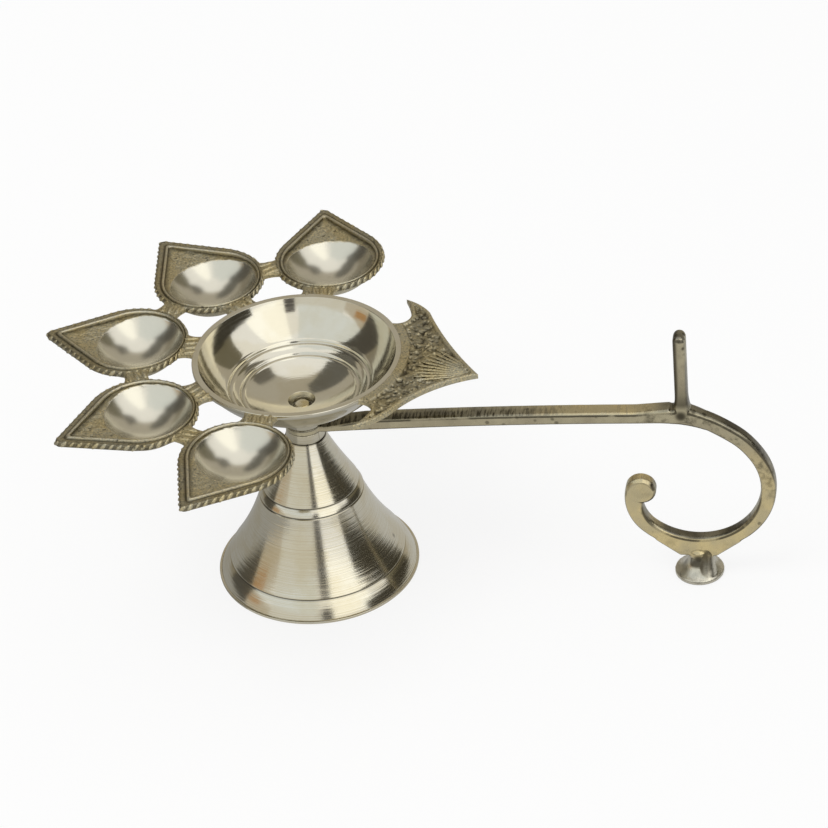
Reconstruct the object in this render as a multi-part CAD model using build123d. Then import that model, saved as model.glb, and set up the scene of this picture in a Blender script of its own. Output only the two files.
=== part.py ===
from build123d import *
import os
from math import asin, atan2, cos, degrees, hypot, radians, sin, tan

# Aarti lamp of cast and turned brass, in millimetres.
# The origin is on the screw axis at the floor, +Z is up and +X runs along the handle.

# Fits
SEAT_GAP = 0.05         # between clamped faces that turn on each other
SWIVEL_CLEAR = 0.05     # radial, dish and handle on the screw
HOLE_CLEAR = 0.15       # radial, screw in the pedestal
HEAD_ROOM = 1.8         # radial, screw head in the top of the bell

# Clamp screw
SCREW_R = 2.5
HEAD_R = 4.5
HEAD_T = 3.2
SLOT_W = 1.0
SLOT_DEPTH = 1.2
SCREW_SHOWS = 1.4       # screw end above the recess in the dish
SCREW_POINT = 0.4

# Pedestal, a turned bell
BASE_R = 33.0
BASE_LAND = 3.0         # width of the flat ring that it stands on
EDGE_H = 0.9
EDGE_STEP = 0.7
LIP_R = 28.9
LIP_H = 6.4             # height of the first groove
WAIST_R = 17.1
SHOULDER_H = 24.0       # first groove to second
SHOULDER_HOLLOW = 0.95
BAND_R = 15.75
BAND_H = 2.9            # second groove to third
COLLAR_R = 6.6
NECK_H = 19.2           # third groove to collar
NECK_HOLLOW = 0.35
TOP_R = 6.0
COLLAR_H = 3.1
GROOVE_W = 0.8
GROOVE_DEPTH = 0.45
BELL_WALL = 2.5         # measured level
SEAT_WEB = 11.6         # solid metal above the screw head

# Handle, a casting: eye and neck
EYE_R = 6.2
EYE_T = 2.2
NECK_W = 7.0
NECK_FLAT = 7.5         # screw axis to the end of the flat
NECK_TAPER = 12.5
NECK_RISE = 1.8
NECK_EDGE = 0.6

# Handle: rod
ROD_W = 6.0
ROD_T = 3.8
ROD_EDGE = 0.7
ROD_L = 98.2
ROD_SLOPE = 4.35        # degrees up at the neck
ROD_BEND = 3.0          # degrees of droop along its length

# Handle: finger loop
SHOULDER_R = 21.0
SLANT_DEG = 32.3        # straight stretch between shoulder and loop
SLANT_L = 9.8
LOOP_TURN = 190.0
CURL_R = 12.0
CURL_TURN = 78.0
HOOK_W = 4.6
HOOK_T = 4.8
HOOK_EDGE = 1.0
KNOB_R = 4.9
KNOB_T = 5.0
KNOB_EDGE = 1.0

# Handle: post and foot
POST_AHEAD = 3.9        # beyond the end of the rod
POST_H = 31.0           # above the middle of the rod
POST_T = 3.4
POST_W = 6.0
POST_FLARE = 2.0
POST_FLARE_H = 5.0
SWELL_L = 15.0          # rod thickening towards the post
SWELL_H = 1.1
FOOT_R = 8.0
FOOT_EDGE = 1.5
FOOT_NECK_R = 3.4
FOOT_CONE_H = 9.0
FOOT_HOLLOW = 1.5
FOOT_H = 9.85           # floor to the underside of the hook
WEB_TOP = 9.5           # half length of the web between hook and foot, at the hook
WEB_FOOT = 5.6          # and at the foot
WEB_H = 1.6             # below the hook

# Dish
PLATE_TURN = -6.65      # degrees, fish tail from the handle's line
HUB_R = 6.2
HUB_H = 7.9             # handle eye to the floor of the dish
RECESS_R = 4.4
RECESS_TAPER = 1.0
RECESS_DEPTH = 2.6
DISH_R = 31.6
DISH_DEPTH = 18.2
DISH_WALL = 1.0
FLOOR_ARC = 41.0
FLOOR_R = 20.0          # where the floor turns up into the wall
RIM_W = 2.0
RIM_H = 1.5
RIM_STEP = 0.8
RIM_EDGE = 0.4

# Leaf cups
CUP_SIDE = 2            # cups on each side of the middle one
CUP_R = 18.2
CUP_TIP = 30.4          # middle of the bowl to the sharp tip
TIP_ROUND = 1.5
CUP_GAP = 3.3           # rim of the dish to a cup
CUP_SPACE = 3.8         # one cup to the next
CUP_LEANS = (0.0, 2.8, 14.4)    # degrees, tips towards the middle cup
BORDER_W = 2.8
BORDER_T = 2.2
BORDER_EDGE = 0.6
BOWL_DEPTH = 10.0
CUP_WALL = 1.2

# Bridges
BRIDGE_T = 2.0
DISH_BRIDGE_W = 11.5
CUP_BRIDGE_W = 8.8
BRIDGE_WAIST = 0.7

# Fish tail: places are (distance out from the rim, degrees from the tail's line)
TAIL_T = 1.8
TAIL_ROOT_DEG = 40.0
TAIL_POINT = (26.3, -2.1)
TAIL_EDGE_LEFT = ((14.0, 19.0), (12.9, 38.1), (12.2, 45.2))
TAIL_EDGE_RIGHT = ((14.5, -13.2), (11.1, -34.0), (11.3, -42.3))
TAIL_FLUKE = (10.6, 51.9)
TAIL_BITE = ((9.0, 46.3), (7.4, 41.1), (2.4, 37.2))

# Heights up the screw axis, and the sizes that follow from the fits
WAIST_Z = LIP_H + SHOULDER_H
BAND_Z = WAIST_Z + BAND_H
PEDESTAL_H = BAND_Z + NECK_H + COLLAR_H
SEAT_Z = PEDESTAL_H - SEAT_WEB
EYE_Z = PEDESTAL_H + SEAT_GAP
HUB_Z = EYE_Z + EYE_T + SEAT_GAP
FLOOR_Z = HUB_Z + HUB_H
RIM_Z = FLOOR_Z + DISH_DEPTH
SCREW_END = FLOOR_Z - RECESS_DEPTH + SCREW_SHOWS
SWIVEL_R = SCREW_R + SWIVEL_CLEAR
RIM_R = DISH_R + RIM_W
CUP_CENTRE_R = RIM_R + CUP_GAP + CUP_R
CUP_PITCH = 2 * degrees(asin((CUP_R + CUP_SPACE / 2) / CUP_CENTRE_R))
UP = (Align.CENTER, Align.CENTER, Align.MIN)


def bowed(start, end, bow):
    """Arc from start to end that stands off its chord by bow, to the left."""
    dx = end[0] - start[0]
    dy = end[1] - start[1]
    length = hypot(dx, dy)
    middle = ((start[0] + end[0]) / 2 - bow * dy / length, (start[1] + end[1]) / 2 + bow * dx / length)
    return ThreePointArc(start, middle, end)


def turned(edges):
    """Solid of revolution about Z from a closed half profile given as (radius, height)."""
    return revolve(Plane.XZ * make_face(edges), Axis.Z)


def groove(radius, height):
    """V-shaped turned groove, as a stretch of the pedestal's profile."""
    low = (radius, height - GROOVE_W / 2)
    high = (radius, height + GROOVE_W / 2)
    return Polyline(low, (radius - GROOVE_DEPTH, height), high)


def pedestal():
    lip = groove(LIP_R, LIP_H)
    waist = groove(WAIST_R, WAIST_Z)
    band = groove(BAND_R, BAND_Z)
    collar = (COLLAR_R, PEDESTAL_H - COLLAR_H)
    hole_r = SCREW_R + HOLE_CLEAR
    seat = (HEAD_R + HEAD_ROOM, SEAT_Z)
    land = (BASE_R - BASE_LAND, 0)
    lip_inside = (LIP_R - BELL_WALL, LIP_H)
    waist_inside = (WAIST_R - BELL_WALL, WAIST_Z)
    foot_ring = Polyline(land, (BASE_R, 0), (BASE_R, EDGE_H), (BASE_R - EDGE_STEP, EDGE_H), lip @ 0)
    top = Polyline(collar, (TOP_R, PEDESTAL_H), (hole_r, PEDESTAL_H), (hole_r, SEAT_Z), seat, waist_inside)
    outside = [
        foot_ring,
        lip,
        bowed((LIP_R, LIP_H + GROOVE_W / 2), (WAIST_R, WAIST_Z - GROOVE_W / 2), SHOULDER_HOLLOW),
        waist,
        Line(waist @ 1, band @ 0),
        band,
        bowed((BAND_R, BAND_Z + GROOVE_W / 2), collar, NECK_HOLLOW),
    ]
    inside = [bowed(waist_inside, lip_inside, -SHOULDER_HOLLOW), Line(lip_inside, land)]
    return turned(outside + [top] + inside)


def clamp_screw():
    head = Pos(0, 0, SEAT_Z - HEAD_T) * Cylinder(HEAD_R, HEAD_T, align=UP)
    shank = Pos(0, 0, SEAT_Z) * Cylinder(SCREW_R, SCREW_END - SEAT_Z, align=UP)
    shank = chamfer(shank.edges().group_by(Axis.Z)[-1], SCREW_POINT)
    slot = Pos(0, 0, SEAT_Z - HEAD_T) * Box(2 * HEAD_R, SLOT_W, SLOT_DEPTH, align=UP)
    return head + shank - slot


def along(degs):
    """Unit vector in the handle's plane, at this angle above level."""
    return Vector(cos(radians(degs)), sin(radians(degs)))


def bar_section(point, degs, width, thick, edge):
    """Bevelled section across the handle's plane, square to a heading at a point."""
    plane = Plane((point.X, 0, point.Y), x_dir=(0, 1, 0), z_dir=(cos(radians(degs)), 0, sin(radians(degs))))
    return plane * chamfer(Rectangle(width, thick).vertices(), edge)


def handle_lines():
    """Middle lines of the rod with its shoulder, and of the finger loop with its curl."""
    start = Vector(NECK_FLAT + NECK_TAPER, EYE_Z + EYE_T / 2 + NECK_RISE)
    rod = JernArc(start, along(ROD_SLOPE), ROD_L / radians(ROD_BEND), -ROD_BEND)
    rod_end_deg = ROD_SLOPE - ROD_BEND
    shoulder = JernArc(rod @ 1, along(rod_end_deg), SHOULDER_R, -(rod_end_deg + SLANT_DEG))
    loop_start = (shoulder @ 1) + along(-SLANT_DEG) * SLANT_L
    drop = loop_start.Y - FOOT_H - HOOK_T / 2
    loop_r = drop / (1 + cos(radians(SLANT_DEG)))
    loop = JernArc(loop_start, along(-SLANT_DEG), loop_r, -LOOP_TURN)
    curl = JernArc(loop @ 1, along(-SLANT_DEG - LOOP_TURN), CURL_R, -CURL_TURN)
    lowest_x = loop_start.X - loop_r * sin(radians(SLANT_DEG))
    return rod, shoulder, loop, curl, lowest_x


def swept(section, edges):
    return sweep(section, path=Plane.XZ * Wire(edges))


def eye_and_neck(rod_section):
    eye = Cylinder(EYE_R, EYE_T, align=UP)
    flat = Box(NECK_FLAT, NECK_W, EYE_T, align=(Align.MIN, Align.CENTER, Align.MIN))
    flat_end = bar_section(Vector(NECK_FLAT, EYE_Z + EYE_T / 2), 0, NECK_W, EYE_T, NECK_EDGE)
    return Pos(0, 0, EYE_Z) * (eye + flat) + loft([flat_end, rod_section])


def post(rod_end):
    x = rod_end.X + POST_AHEAD
    sole = rod_end.Y - ROD_T / 4
    flare_z = rod_end.Y + ROD_T / 2 + POST_FLARE_H
    top = rod_end.Y + POST_H - POST_T / 2
    half = POST_T / 2
    foot_half = half + POST_FLARE
    right_flare = RadiusArc((x + foot_half, flare_z - POST_FLARE_H), (x + half, flare_z), 2 * POST_FLARE_H)
    left_flare = RadiusArc((x - half, flare_z), (x - foot_half, flare_z - POST_FLARE_H), 2 * POST_FLARE_H)
    edges = [
        right_flare,
        Line((x + half, flare_z), (x + half, top)),
        ThreePointArc((x + half, top), (x, top + half), (x - half, top)),
        Line((x - half, top), (x - half, flare_z)),
        left_flare,
        Polyline(left_flare @ 1, (x - foot_half, sole), (x + foot_half, sole), right_flare @ 0),
    ]
    return extrude(Plane.XZ * make_face(edges), POST_W / 2, both=True)


def swell(rod_end):
    """Wedge on the rod that runs up to the post."""
    x = rod_end.X + POST_AHEAD - POST_T / 2
    top = rod_end.Y + ROD_T / 2
    start = (x - SWELL_L, top - SWELL_L * tan(radians(ROD_SLOPE - ROD_BEND)))
    corners = [start, (x, top + SWELL_H), (x, rod_end.Y), (start[0], rod_end.Y)]
    return extrude(Plane.XZ * make_face(Polyline(*corners, close=True)), ROD_W / 2 - ROD_EDGE, both=True)


def web(x):
    """Plate between the underside of the hook and the foot."""
    inside, low = FOOT_H + HOOK_T / 2, FOOT_H - WEB_H
    corners = [(x - WEB_TOP, inside), (x - WEB_FOOT, low), (x + WEB_FOOT, low), (x + WEB_TOP, inside)]
    return extrude(Plane.XZ * make_face(Polyline(*corners, close=True)), HOOK_W / 2, both=True)


def foot(x):
    cone = bowed((FOOT_R, FOOT_EDGE), (FOOT_NECK_R, FOOT_CONE_H), FOOT_HOLLOW)
    tenon = FOOT_H + HOOK_T / 2
    rest = Polyline(cone @ 1, (FOOT_NECK_R, tenon), (0, tenon), (0, 0), (FOOT_R, 0), cone @ 0)
    return Pos(x, 0, 0) * turned([cone, rest])


def handle():
    rod, shoulder, loop, curl, lowest_x = handle_lines()
    rod_size = (ROD_W, ROD_T, ROD_EDGE)
    hook_size = (HOOK_W, HOOK_T, HOOK_EDGE)
    rod_start = bar_section(rod @ 0, ROD_SLOPE, *rod_size)
    rod_end = bar_section(rod @ 1, ROD_SLOPE - ROD_BEND, *rod_size)
    slant_start = bar_section(shoulder @ 1, -SLANT_DEG, *hook_size)
    slant_end = bar_section(loop @ 0, -SLANT_DEG, *hook_size)
    knob_at = curl @ 1
    knob = Rot(90, 0, 0) * Cylinder(KNOB_R, KNOB_T)
    knob = chamfer(knob.edges().filter_by(GeomType.CIRCLE), KNOB_EDGE)
    solid = eye_and_neck(rod_start) + swept(rod_start, [rod])
    solid = solid + sweep([rod_end, slant_start], path=Plane.XZ * Wire([shoulder]), multisection=True)
    solid = solid + loft([slant_start, slant_end]) + swept(slant_end, [loop, curl])
    solid = solid + Pos(knob_at.X, 0, knob_at.Y) * knob
    solid = solid + post(rod @ 1) + swell(rod @ 1) + web(lowest_x) + foot(lowest_x)
    return solid - Pos(0, 0, EYE_Z) * Cylinder(SWIVEL_R, EYE_T, align=UP)


def oil_dish():
    """Dish with its hub, turned about the screw; heights here are from the floor of the dish."""
    outer_arc = FLOOR_ARC + DISH_WALL
    centre = (0, FLOOR_ARC)
    turn_deg = degrees(asin(FLOOR_R / FLOOR_ARC))
    recess_deg = degrees(asin(RECESS_R / FLOOR_ARC))
    hub_deg = degrees(asin(HUB_R / outer_arc))
    upward = along(turn_deg)
    rim_low = DISH_DEPTH - RIM_H
    floor_in = CenterArc(centre, FLOOR_ARC, recess_deg - 90, turn_deg - recess_deg)
    floor_out = CenterArc(centre, outer_arc, hub_deg - 90, turn_deg - hub_deg)
    wall_in = TangentArc(floor_in @ 1, (DISH_R, DISH_DEPTH), tangent=upward)
    wall_out = TangentArc(floor_out @ 1, (RIM_R - RIM_STEP, rim_low), tangent=upward)
    rim = Polyline(wall_out @ 1, (RIM_R, rim_low), (RIM_R, DISH_DEPTH - RIM_EDGE),
                   (RIM_R - RIM_EDGE, DISH_DEPTH), wall_in @ 1)
    hub = Polyline(floor_in @ 0, (RECESS_R - RECESS_TAPER, -RECESS_DEPTH), (SWIVEL_R, -RECESS_DEPTH),
                   (SWIVEL_R, -HUB_H), (HUB_R, -HUB_H), floor_out @ 0)
    return Pos(0, 0, FLOOR_Z) * turned([floor_in, wall_in, rim, wall_out, floor_out, hub])


def leaf_solid(radius, tip):
    """Ball drawn out to a point on +X: a sphere with the cone from its tip."""
    lean = degrees(asin(radius / tip))
    ball = CenterArc((0, 0), radius, 90 - lean, 90 + lean)
    cone = Line((tip, 0), ball @ 0)
    return revolve(make_face([ball, cone, Line(ball @ 1, (tip, 0))]), Axis.X)


def cup_shell():
    """One cup: its rim plane is z = 0 and it points along +X."""
    half_deg = degrees(asin(CUP_R / CUP_TIP))
    back = CenterArc((0, 0), CUP_R, 90 - half_deg, 180 + 2 * half_deg)
    outline = make_face([back, Polyline(back @ 1, (CUP_TIP, 0), back @ 0)])
    outline = fillet(outline.vertices().sort_by(Axis.X)[-1], TIP_ROUND)
    border = extrude(outline, -BORDER_T)
    border = chamfer(border.edges().group_by(Axis.Z)[-1], BORDER_EDGE)
    bowl_r = CUP_R - BORDER_W
    bowl_tip = CUP_TIP - BORDER_W / sin(radians(half_deg))
    ball_r = (bowl_r ** 2 + BOWL_DEPTH ** 2) / (2 * BOWL_DEPTH)
    ball_z = ball_r - BOWL_DEPTH
    reach = hypot(bowl_tip, ball_z)
    outer_r = ball_r + CUP_WALL
    tilt = Pos(0, 0, ball_z) * Rot(0, degrees(atan2(ball_z, bowl_tip)), 0)
    hollow = tilt * leaf_solid(ball_r, reach)
    shell = tilt * leaf_solid(outer_r, reach * outer_r / ball_r)
    below = Pos(0, 0, -BORDER_T / 2) * Box(3 * CUP_TIP, 3 * CUP_TIP, 2 * CUP_TIP, align=UP)
    return border + (shell - below) - hollow


def bridge(start, end, width):
    """Flat bar along +X between two distances, drawn in a little at its sides."""
    half = width / 2
    near = bowed((end, half), (start, half), BRIDGE_WAIST)
    far = bowed((start, -half), (end, -half), BRIDGE_WAIST)
    return extrude(make_face([near, Line(near @ 1, far @ 0), far, Line(far @ 1, near @ 0)]), -BRIDGE_T)


def tail_side(edge_points, side):
    """Edge of one half of the tail, from its point round the fluke to the root on the rim."""
    places = (TAIL_POINT,) + edge_points
    point, edge, bend, hook = [(RIM_R + out) * along(degs) for out, degs in places]
    places = (TAIL_FLUKE,) + TAIL_BITE
    fluke, bite, bite_turn, bite_deep = [(RIM_R + out) * along(side * degs) for out, degs in places]
    root = (RIM_R - RIM_W / 2) * along(side * TAIL_ROOT_DEG)
    return [
        ThreePointArc(point, edge, bend),
        ThreePointArc(bend, hook, fluke),
        ThreePointArc(fluke, bite, bite_turn),
        ThreePointArc(bite_turn, bite_deep, root),
    ]


def round_the_dish(solid):
    """Turn a solid made at the rim's level to the plate's place, and fit it to the dish."""
    return Rot(0, 0, PLATE_TURN) * Pos(0, 0, RIM_Z) * solid - oil_dish()


def fish_tail():
    edges = tail_side(TAIL_EDGE_LEFT, 1) + tail_side(TAIL_EDGE_RIGHT, -1)
    root = CenterArc((0, 0), RIM_R - RIM_W / 2, -TAIL_ROOT_DEG, 2 * TAIL_ROOT_DEG)
    return round_the_dish(extrude(make_face(edges + [root]), -TAIL_T))


def leaf_cup(step):
    """Cup so many steps from the middle one, with its bridge to the dish and half of each bridge beside it."""
    lean = CUP_LEANS[abs(step)] * (1 if step > 0 else -1)
    mid_rim = RIM_R - RIM_W / 2
    mid_border = CUP_CENTRE_R - CUP_R + BORDER_W / 2
    solid = Pos(CUP_CENTRE_R, 0, 0) * Rot(0, 0, lean) * cup_shell()
    solid = solid + bridge(mid_rim, mid_border, DISH_BRIDGE_W)
    reach = (CUP_SPACE + BORDER_W) / 2
    chord_r = CUP_CENTRE_R * cos(radians(CUP_PITCH / 2))
    cup_bridge = Pos(chord_r, 0, 0) * Rot(0, 0, 90) * bridge(-reach, reach, CUP_BRIDGE_W)
    for side, half in ((-1, Keep.TOP), (1, Keep.BOTTOM)):
        if abs(step + side) <= CUP_SIDE:
            half_bridge = split(cup_bridge, bisect_by=Plane.XZ, keep=half)
            solid = solid + Rot(0, 0, -side * CUP_PITCH / 2) * half_bridge
    return round_the_dish(Rot(0, 0, 180 - step * CUP_PITCH) * solid)


pieces = {"pedestal": pedestal(), "clamp_screw": clamp_screw(), "handle": handle()}
pieces.update({"oil_dish": oil_dish(), "fish_tail": fish_tail()})
for step in range(-CUP_SIDE, CUP_SIDE + 1):
    pieces[f"leaf_cup_{step + CUP_SIDE + 1}"] = leaf_cup(step)
os.makedirs("parts", exist_ok=True)
for name, solid in pieces.items():
    export_step(solid, f"parts/{name}.step")
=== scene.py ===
"""Aarti lamp of pale brass: the finished pieces, built on its packed model, and a plain studio."""

from functools import partial
from math import acos, asin, atan2, cos, degrees, hypot, pi, radians, sin, sqrt, tan

import bmesh
import bpy
import numpy as np
from bpy.props import FloatProperty, FloatVectorProperty, IntProperty, PointerProperty
from mathutils import Matrix, Vector, noise
from mathutils.geometry import delaunay_2d_cdt


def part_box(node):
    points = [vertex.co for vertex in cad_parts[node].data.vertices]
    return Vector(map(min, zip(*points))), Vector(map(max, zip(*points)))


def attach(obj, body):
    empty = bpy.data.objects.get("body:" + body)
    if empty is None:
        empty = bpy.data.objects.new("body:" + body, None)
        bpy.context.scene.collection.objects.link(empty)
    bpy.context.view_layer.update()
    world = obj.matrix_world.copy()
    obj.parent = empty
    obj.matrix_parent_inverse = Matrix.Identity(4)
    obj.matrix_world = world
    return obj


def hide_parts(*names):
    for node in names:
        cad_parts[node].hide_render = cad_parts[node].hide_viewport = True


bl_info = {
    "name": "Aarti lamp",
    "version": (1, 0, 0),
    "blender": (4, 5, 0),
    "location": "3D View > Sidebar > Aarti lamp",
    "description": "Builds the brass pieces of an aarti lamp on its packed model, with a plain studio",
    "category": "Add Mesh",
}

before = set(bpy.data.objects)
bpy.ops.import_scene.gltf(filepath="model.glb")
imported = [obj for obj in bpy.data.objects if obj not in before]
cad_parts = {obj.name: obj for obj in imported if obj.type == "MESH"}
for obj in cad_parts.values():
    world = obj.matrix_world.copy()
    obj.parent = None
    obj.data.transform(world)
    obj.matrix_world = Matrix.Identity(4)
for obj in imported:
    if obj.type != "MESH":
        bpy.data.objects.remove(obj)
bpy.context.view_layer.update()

MM = 0.001
FULL_TURN = 2 * pi
TURNED_STEPS = 288
ROUND_STEPS = 64
SEAT_GAP = 0.05 * MM
PLATE_BODY = "lamp_plate"
HANDLE_BODY = "handle"
PEDESTAL_BODY = "pedestal"
CUPS = sorted(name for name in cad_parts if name.startswith("leaf_cup"))
BELL_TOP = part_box("pedestal")[1]
DISH_LOW, DISH_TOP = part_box("oil_dish")
SCREW_LOW, SCREW_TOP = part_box("clamp_screw")


def length(name, millimetres, description):
    """Length property with its default given in millimetres."""
    return FloatProperty(name=name, description=description, default=millimetres * MM, unit="LENGTH",
                         precision=5)


def angle(name, degs, description):
    """Angle property with its default given in degrees."""
    return FloatProperty(name=name, description=description, default=radians(degs), unit="ROTATION")


def colour(name, rgb, description):
    """Linear colour property."""
    return FloatVectorProperty(name=name, description=description, default=rgb, subtype="COLOR", size=3,
                               min=0, max=1)


# Sizes and colours

class PedestalSizes(bpy.types.PropertyGroup):
    """Sizes of the turned bell."""

    base_radius: length("Base radius", BELL_TOP.x / MM, "Outside of the ring that the bell stands on")
    height: length("Height", BELL_TOP.z / MM, "Floor to the top of the collar")
    land: length("Land", 3.0, "Width of the flat ring underneath")
    edge: length("Edge", 0.9, "Height of the thin edge at the floor")
    step: length("Step", 0.7, "Step from the edge to the lip")
    lip_radius: length("Lip radius", 28.9, "Radius at the lowest groove")
    lip_height: length("Lip height", 6.4, "Height of the lowest groove")
    waist_radius: length("Waist radius", 17.1, "Radius at the middle groove")
    waist_height: length("Waist height", 30.4, "Height of the middle groove")
    band_radius: length("Band radius", 15.75, "Radius at the upper groove")
    band_height: length("Band height", 33.3, "Height of the upper groove")
    collar_radius: length("Collar radius", 6.6, "Radius where the neck meets the collar")
    top_radius: length("Top radius", 6.0, "Radius of the collar's top")
    collar: length("Collar", 3.1, "Height of the collar")
    groove_width: length("Groove width", 0.8, "Width of a turned groove")
    groove_depth: length("Groove depth", 0.45, "Depth of a turned groove")
    shoulder_hollow: length("Shoulder hollow", 0.95, "How far the shoulder curves in")
    neck_hollow: length("Neck hollow", 0.35, "How far the neck curves in")
    lip_crown: length("Lip crown", 0.2, "How far the lip bulges out")
    wall: length("Wall", 2.5, "Wall of the bell, measured level")
    web: length("Web", 11.6, "Solid metal above the screw head")
    hole_radius: length("Hole radius", 2.65, "Hole for the screw")
    seat_radius: length("Seat radius", 6.3, "Room for the screw head")


class ScrewSizes(bpy.types.PropertyGroup):
    """Sizes of the clamp screw."""

    radius: length("Radius", 2.5, "Outside of the thread")
    head_radius: length("Head radius", SCREW_TOP.x / MM, "Outside of the head")
    head: length("Head", 3.2, "Thickness of the head")
    slot_width: length("Slot width", 1.0, "Width of the slot in the head")
    slot_depth: length("Slot depth", 1.2, "Depth of the slot in the head")
    pitch: length("Pitch", 0.8, "Rise of the thread in one turn")
    thread_depth: length("Thread depth", 0.4, "Depth of the thread")
    thread: length("Thread", 9.0, "Length of the threaded end")
    point: length("Point", 0.4, "Bevel at the end")


class DishSizes(bpy.types.PropertyGroup):
    """Sizes of the oil dish."""

    rim_radius: length("Rim radius", DISH_TOP.x / MM, "Outside of the rim")
    rim_width: length("Rim width", 2.0, "Flat top of the rim")
    rim_height: length("Rim height", 1.5, "Outside height of the rim")
    rim_step: length("Rim step", 0.8, "Step from the wall out to the rim")
    depth: length("Depth", 18.2, "Rim to the middle of the floor")
    wall: length("Wall", 1.0, "Thickness of the dish")
    floor_arc: length("Floor arc", 41.0, "Radius of curvature of the floor")
    floor_radius: length("Floor radius", 20.0, "Where the floor turns up into the wall")
    hub_radius: length("Hub radius", 6.2, "Outside of the hub under the floor")
    recess_radius: length("Recess radius", 4.4, "Mouth of the recess round the screw")
    recess_taper: length("Recess taper", 1.0, "How far the recess narrows")
    recess_depth: length("Recess depth", 2.6, "Depth of the recess")
    hole_radius: length("Hole radius", 2.55, "Hole for the screw")
    outer_line: length("Outer line", 22.4, "Radius of the outer turned line")
    inner_line: length("Inner line", 18.8, "Radius of the inner turned line")
    line_width: length("Line width", 0.42, "Half width of a turned line")
    line_depth: length("Line depth", 0.30, "Depth of a turned line")


class CupSizes(bpy.types.PropertyGroup):
    """Sizes of one leaf cup, its rope border and its bridges."""

    radius: length("Radius", 18.2, "Middle of the bowl to the outside of the round back")
    tip: length("Tip", 30.4, "Middle of the bowl to the sharp tip")
    tip_round: length("Tip rounding", 1.5, "Rounding of the tip")
    border: length("Border", 2.8, "Width of the border round the bowl")
    border_thick: length("Border thickness", 2.2, "Thickness of the border")
    depth: length("Depth", 10.0, "Depth of the bowl")
    wall: length("Wall", 1.2, "Thickness of the bowl")
    bowl_radius: length("Bowl radius", 14.6, "Radius of the turned bowl at the rim")
    bowl_depth: length("Bowl depth", 8.5, "Depth of the turned bowl")
    bowl_back: length("Bowl back", 2.1, "Middle of the leaf to the middle of the turned bowl")
    hollow_back: length("Hollow back", 1.3, "Middle of the leaf to the middle of the hollow's outline")
    spout_step: length("Spout step", 0.6, "Step from the border down to the cast spout")
    spout_depth: length("Spout depth", 1.7, "Depth of the spout where it meets the bowl")
    spout_grain: length("Spout grain", 0.16, "Roughness of the cast spout")
    centre: length("Centre", 55.1, "Screw axis to the middle of a bowl")
    space: length("Space", 3.8, "Gap between two cups")
    dish_gap: length("Dish gap", 3.3, "Gap between a cup and the rim of the dish")
    bead: length("Bead", 0.30, "Height of the bead at the edge of the bowl")
    stroke_pitch: length("Stroke pitch", 2.6, "Distance from one rope stroke to the next")
    stroke_length: length("Stroke length", 2.8, "Length of a rope stroke")
    stroke_width: length("Stroke width", 1.2, "Width of a rope stroke")
    stroke_height: length("Stroke height", 0.8, "Full height of a rope stroke")
    stroke_lean: angle("Stroke lean", 40.0, "Lean of a rope stroke from the border's line")
    bridge_thick: length("Bridge thickness", 2.0, "Thickness of a bridge")
    dish_bridge: length("Dish bridge", 11.5, "Width of the bridge to the dish")
    cup_bridge: length("Cup bridge", 8.8, "Width of the bridge between two cups")
    ribs: IntProperty(name="Ribs", description="Ribs on one bridge", default=4, min=2)
    rib_width: length("Rib width", 1.9, "Width of a rib")
    rib_height: length("Rib height", 1.5, "Full height of a rib")


class TailSizes(bpy.types.PropertyGroup):
    """Sizes of the fish tail."""

    thick: length("Thickness", 1.8, "Thickness of the plate")
    root: angle("Root", 40.0, "Half of the angle that the root takes on the rim")
    border: length("Border", 1.5, "Width of the raised border")
    border_rise: length("Border rise", 0.5, "Height of the border over the ground")
    mark_width: length("Mark width", 0.42, "Half width of a punched mark in the ground")
    mark_length: length("Mark length", 1.0, "Half length of a punched mark")
    mark_depth: length("Mark depth", 0.42, "Depth of a punched mark")
    marks: IntProperty(name="Marks", description="Punched marks in the ground", default=1300, min=0)
    root_border: length("Root border", 2.2, "Width of the smooth band along the rim of the dish")
    grain: length("Grain", 0.30, "Distance between the points of the ground")
    rays: IntProperty(name="Rays", description="Feather rays near the point", default=10, min=2)
    ray_width: length("Ray width", 1.15, "Width of a ray")
    ray_height: length("Ray height", 0.9, "Full height of a ray")


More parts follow.
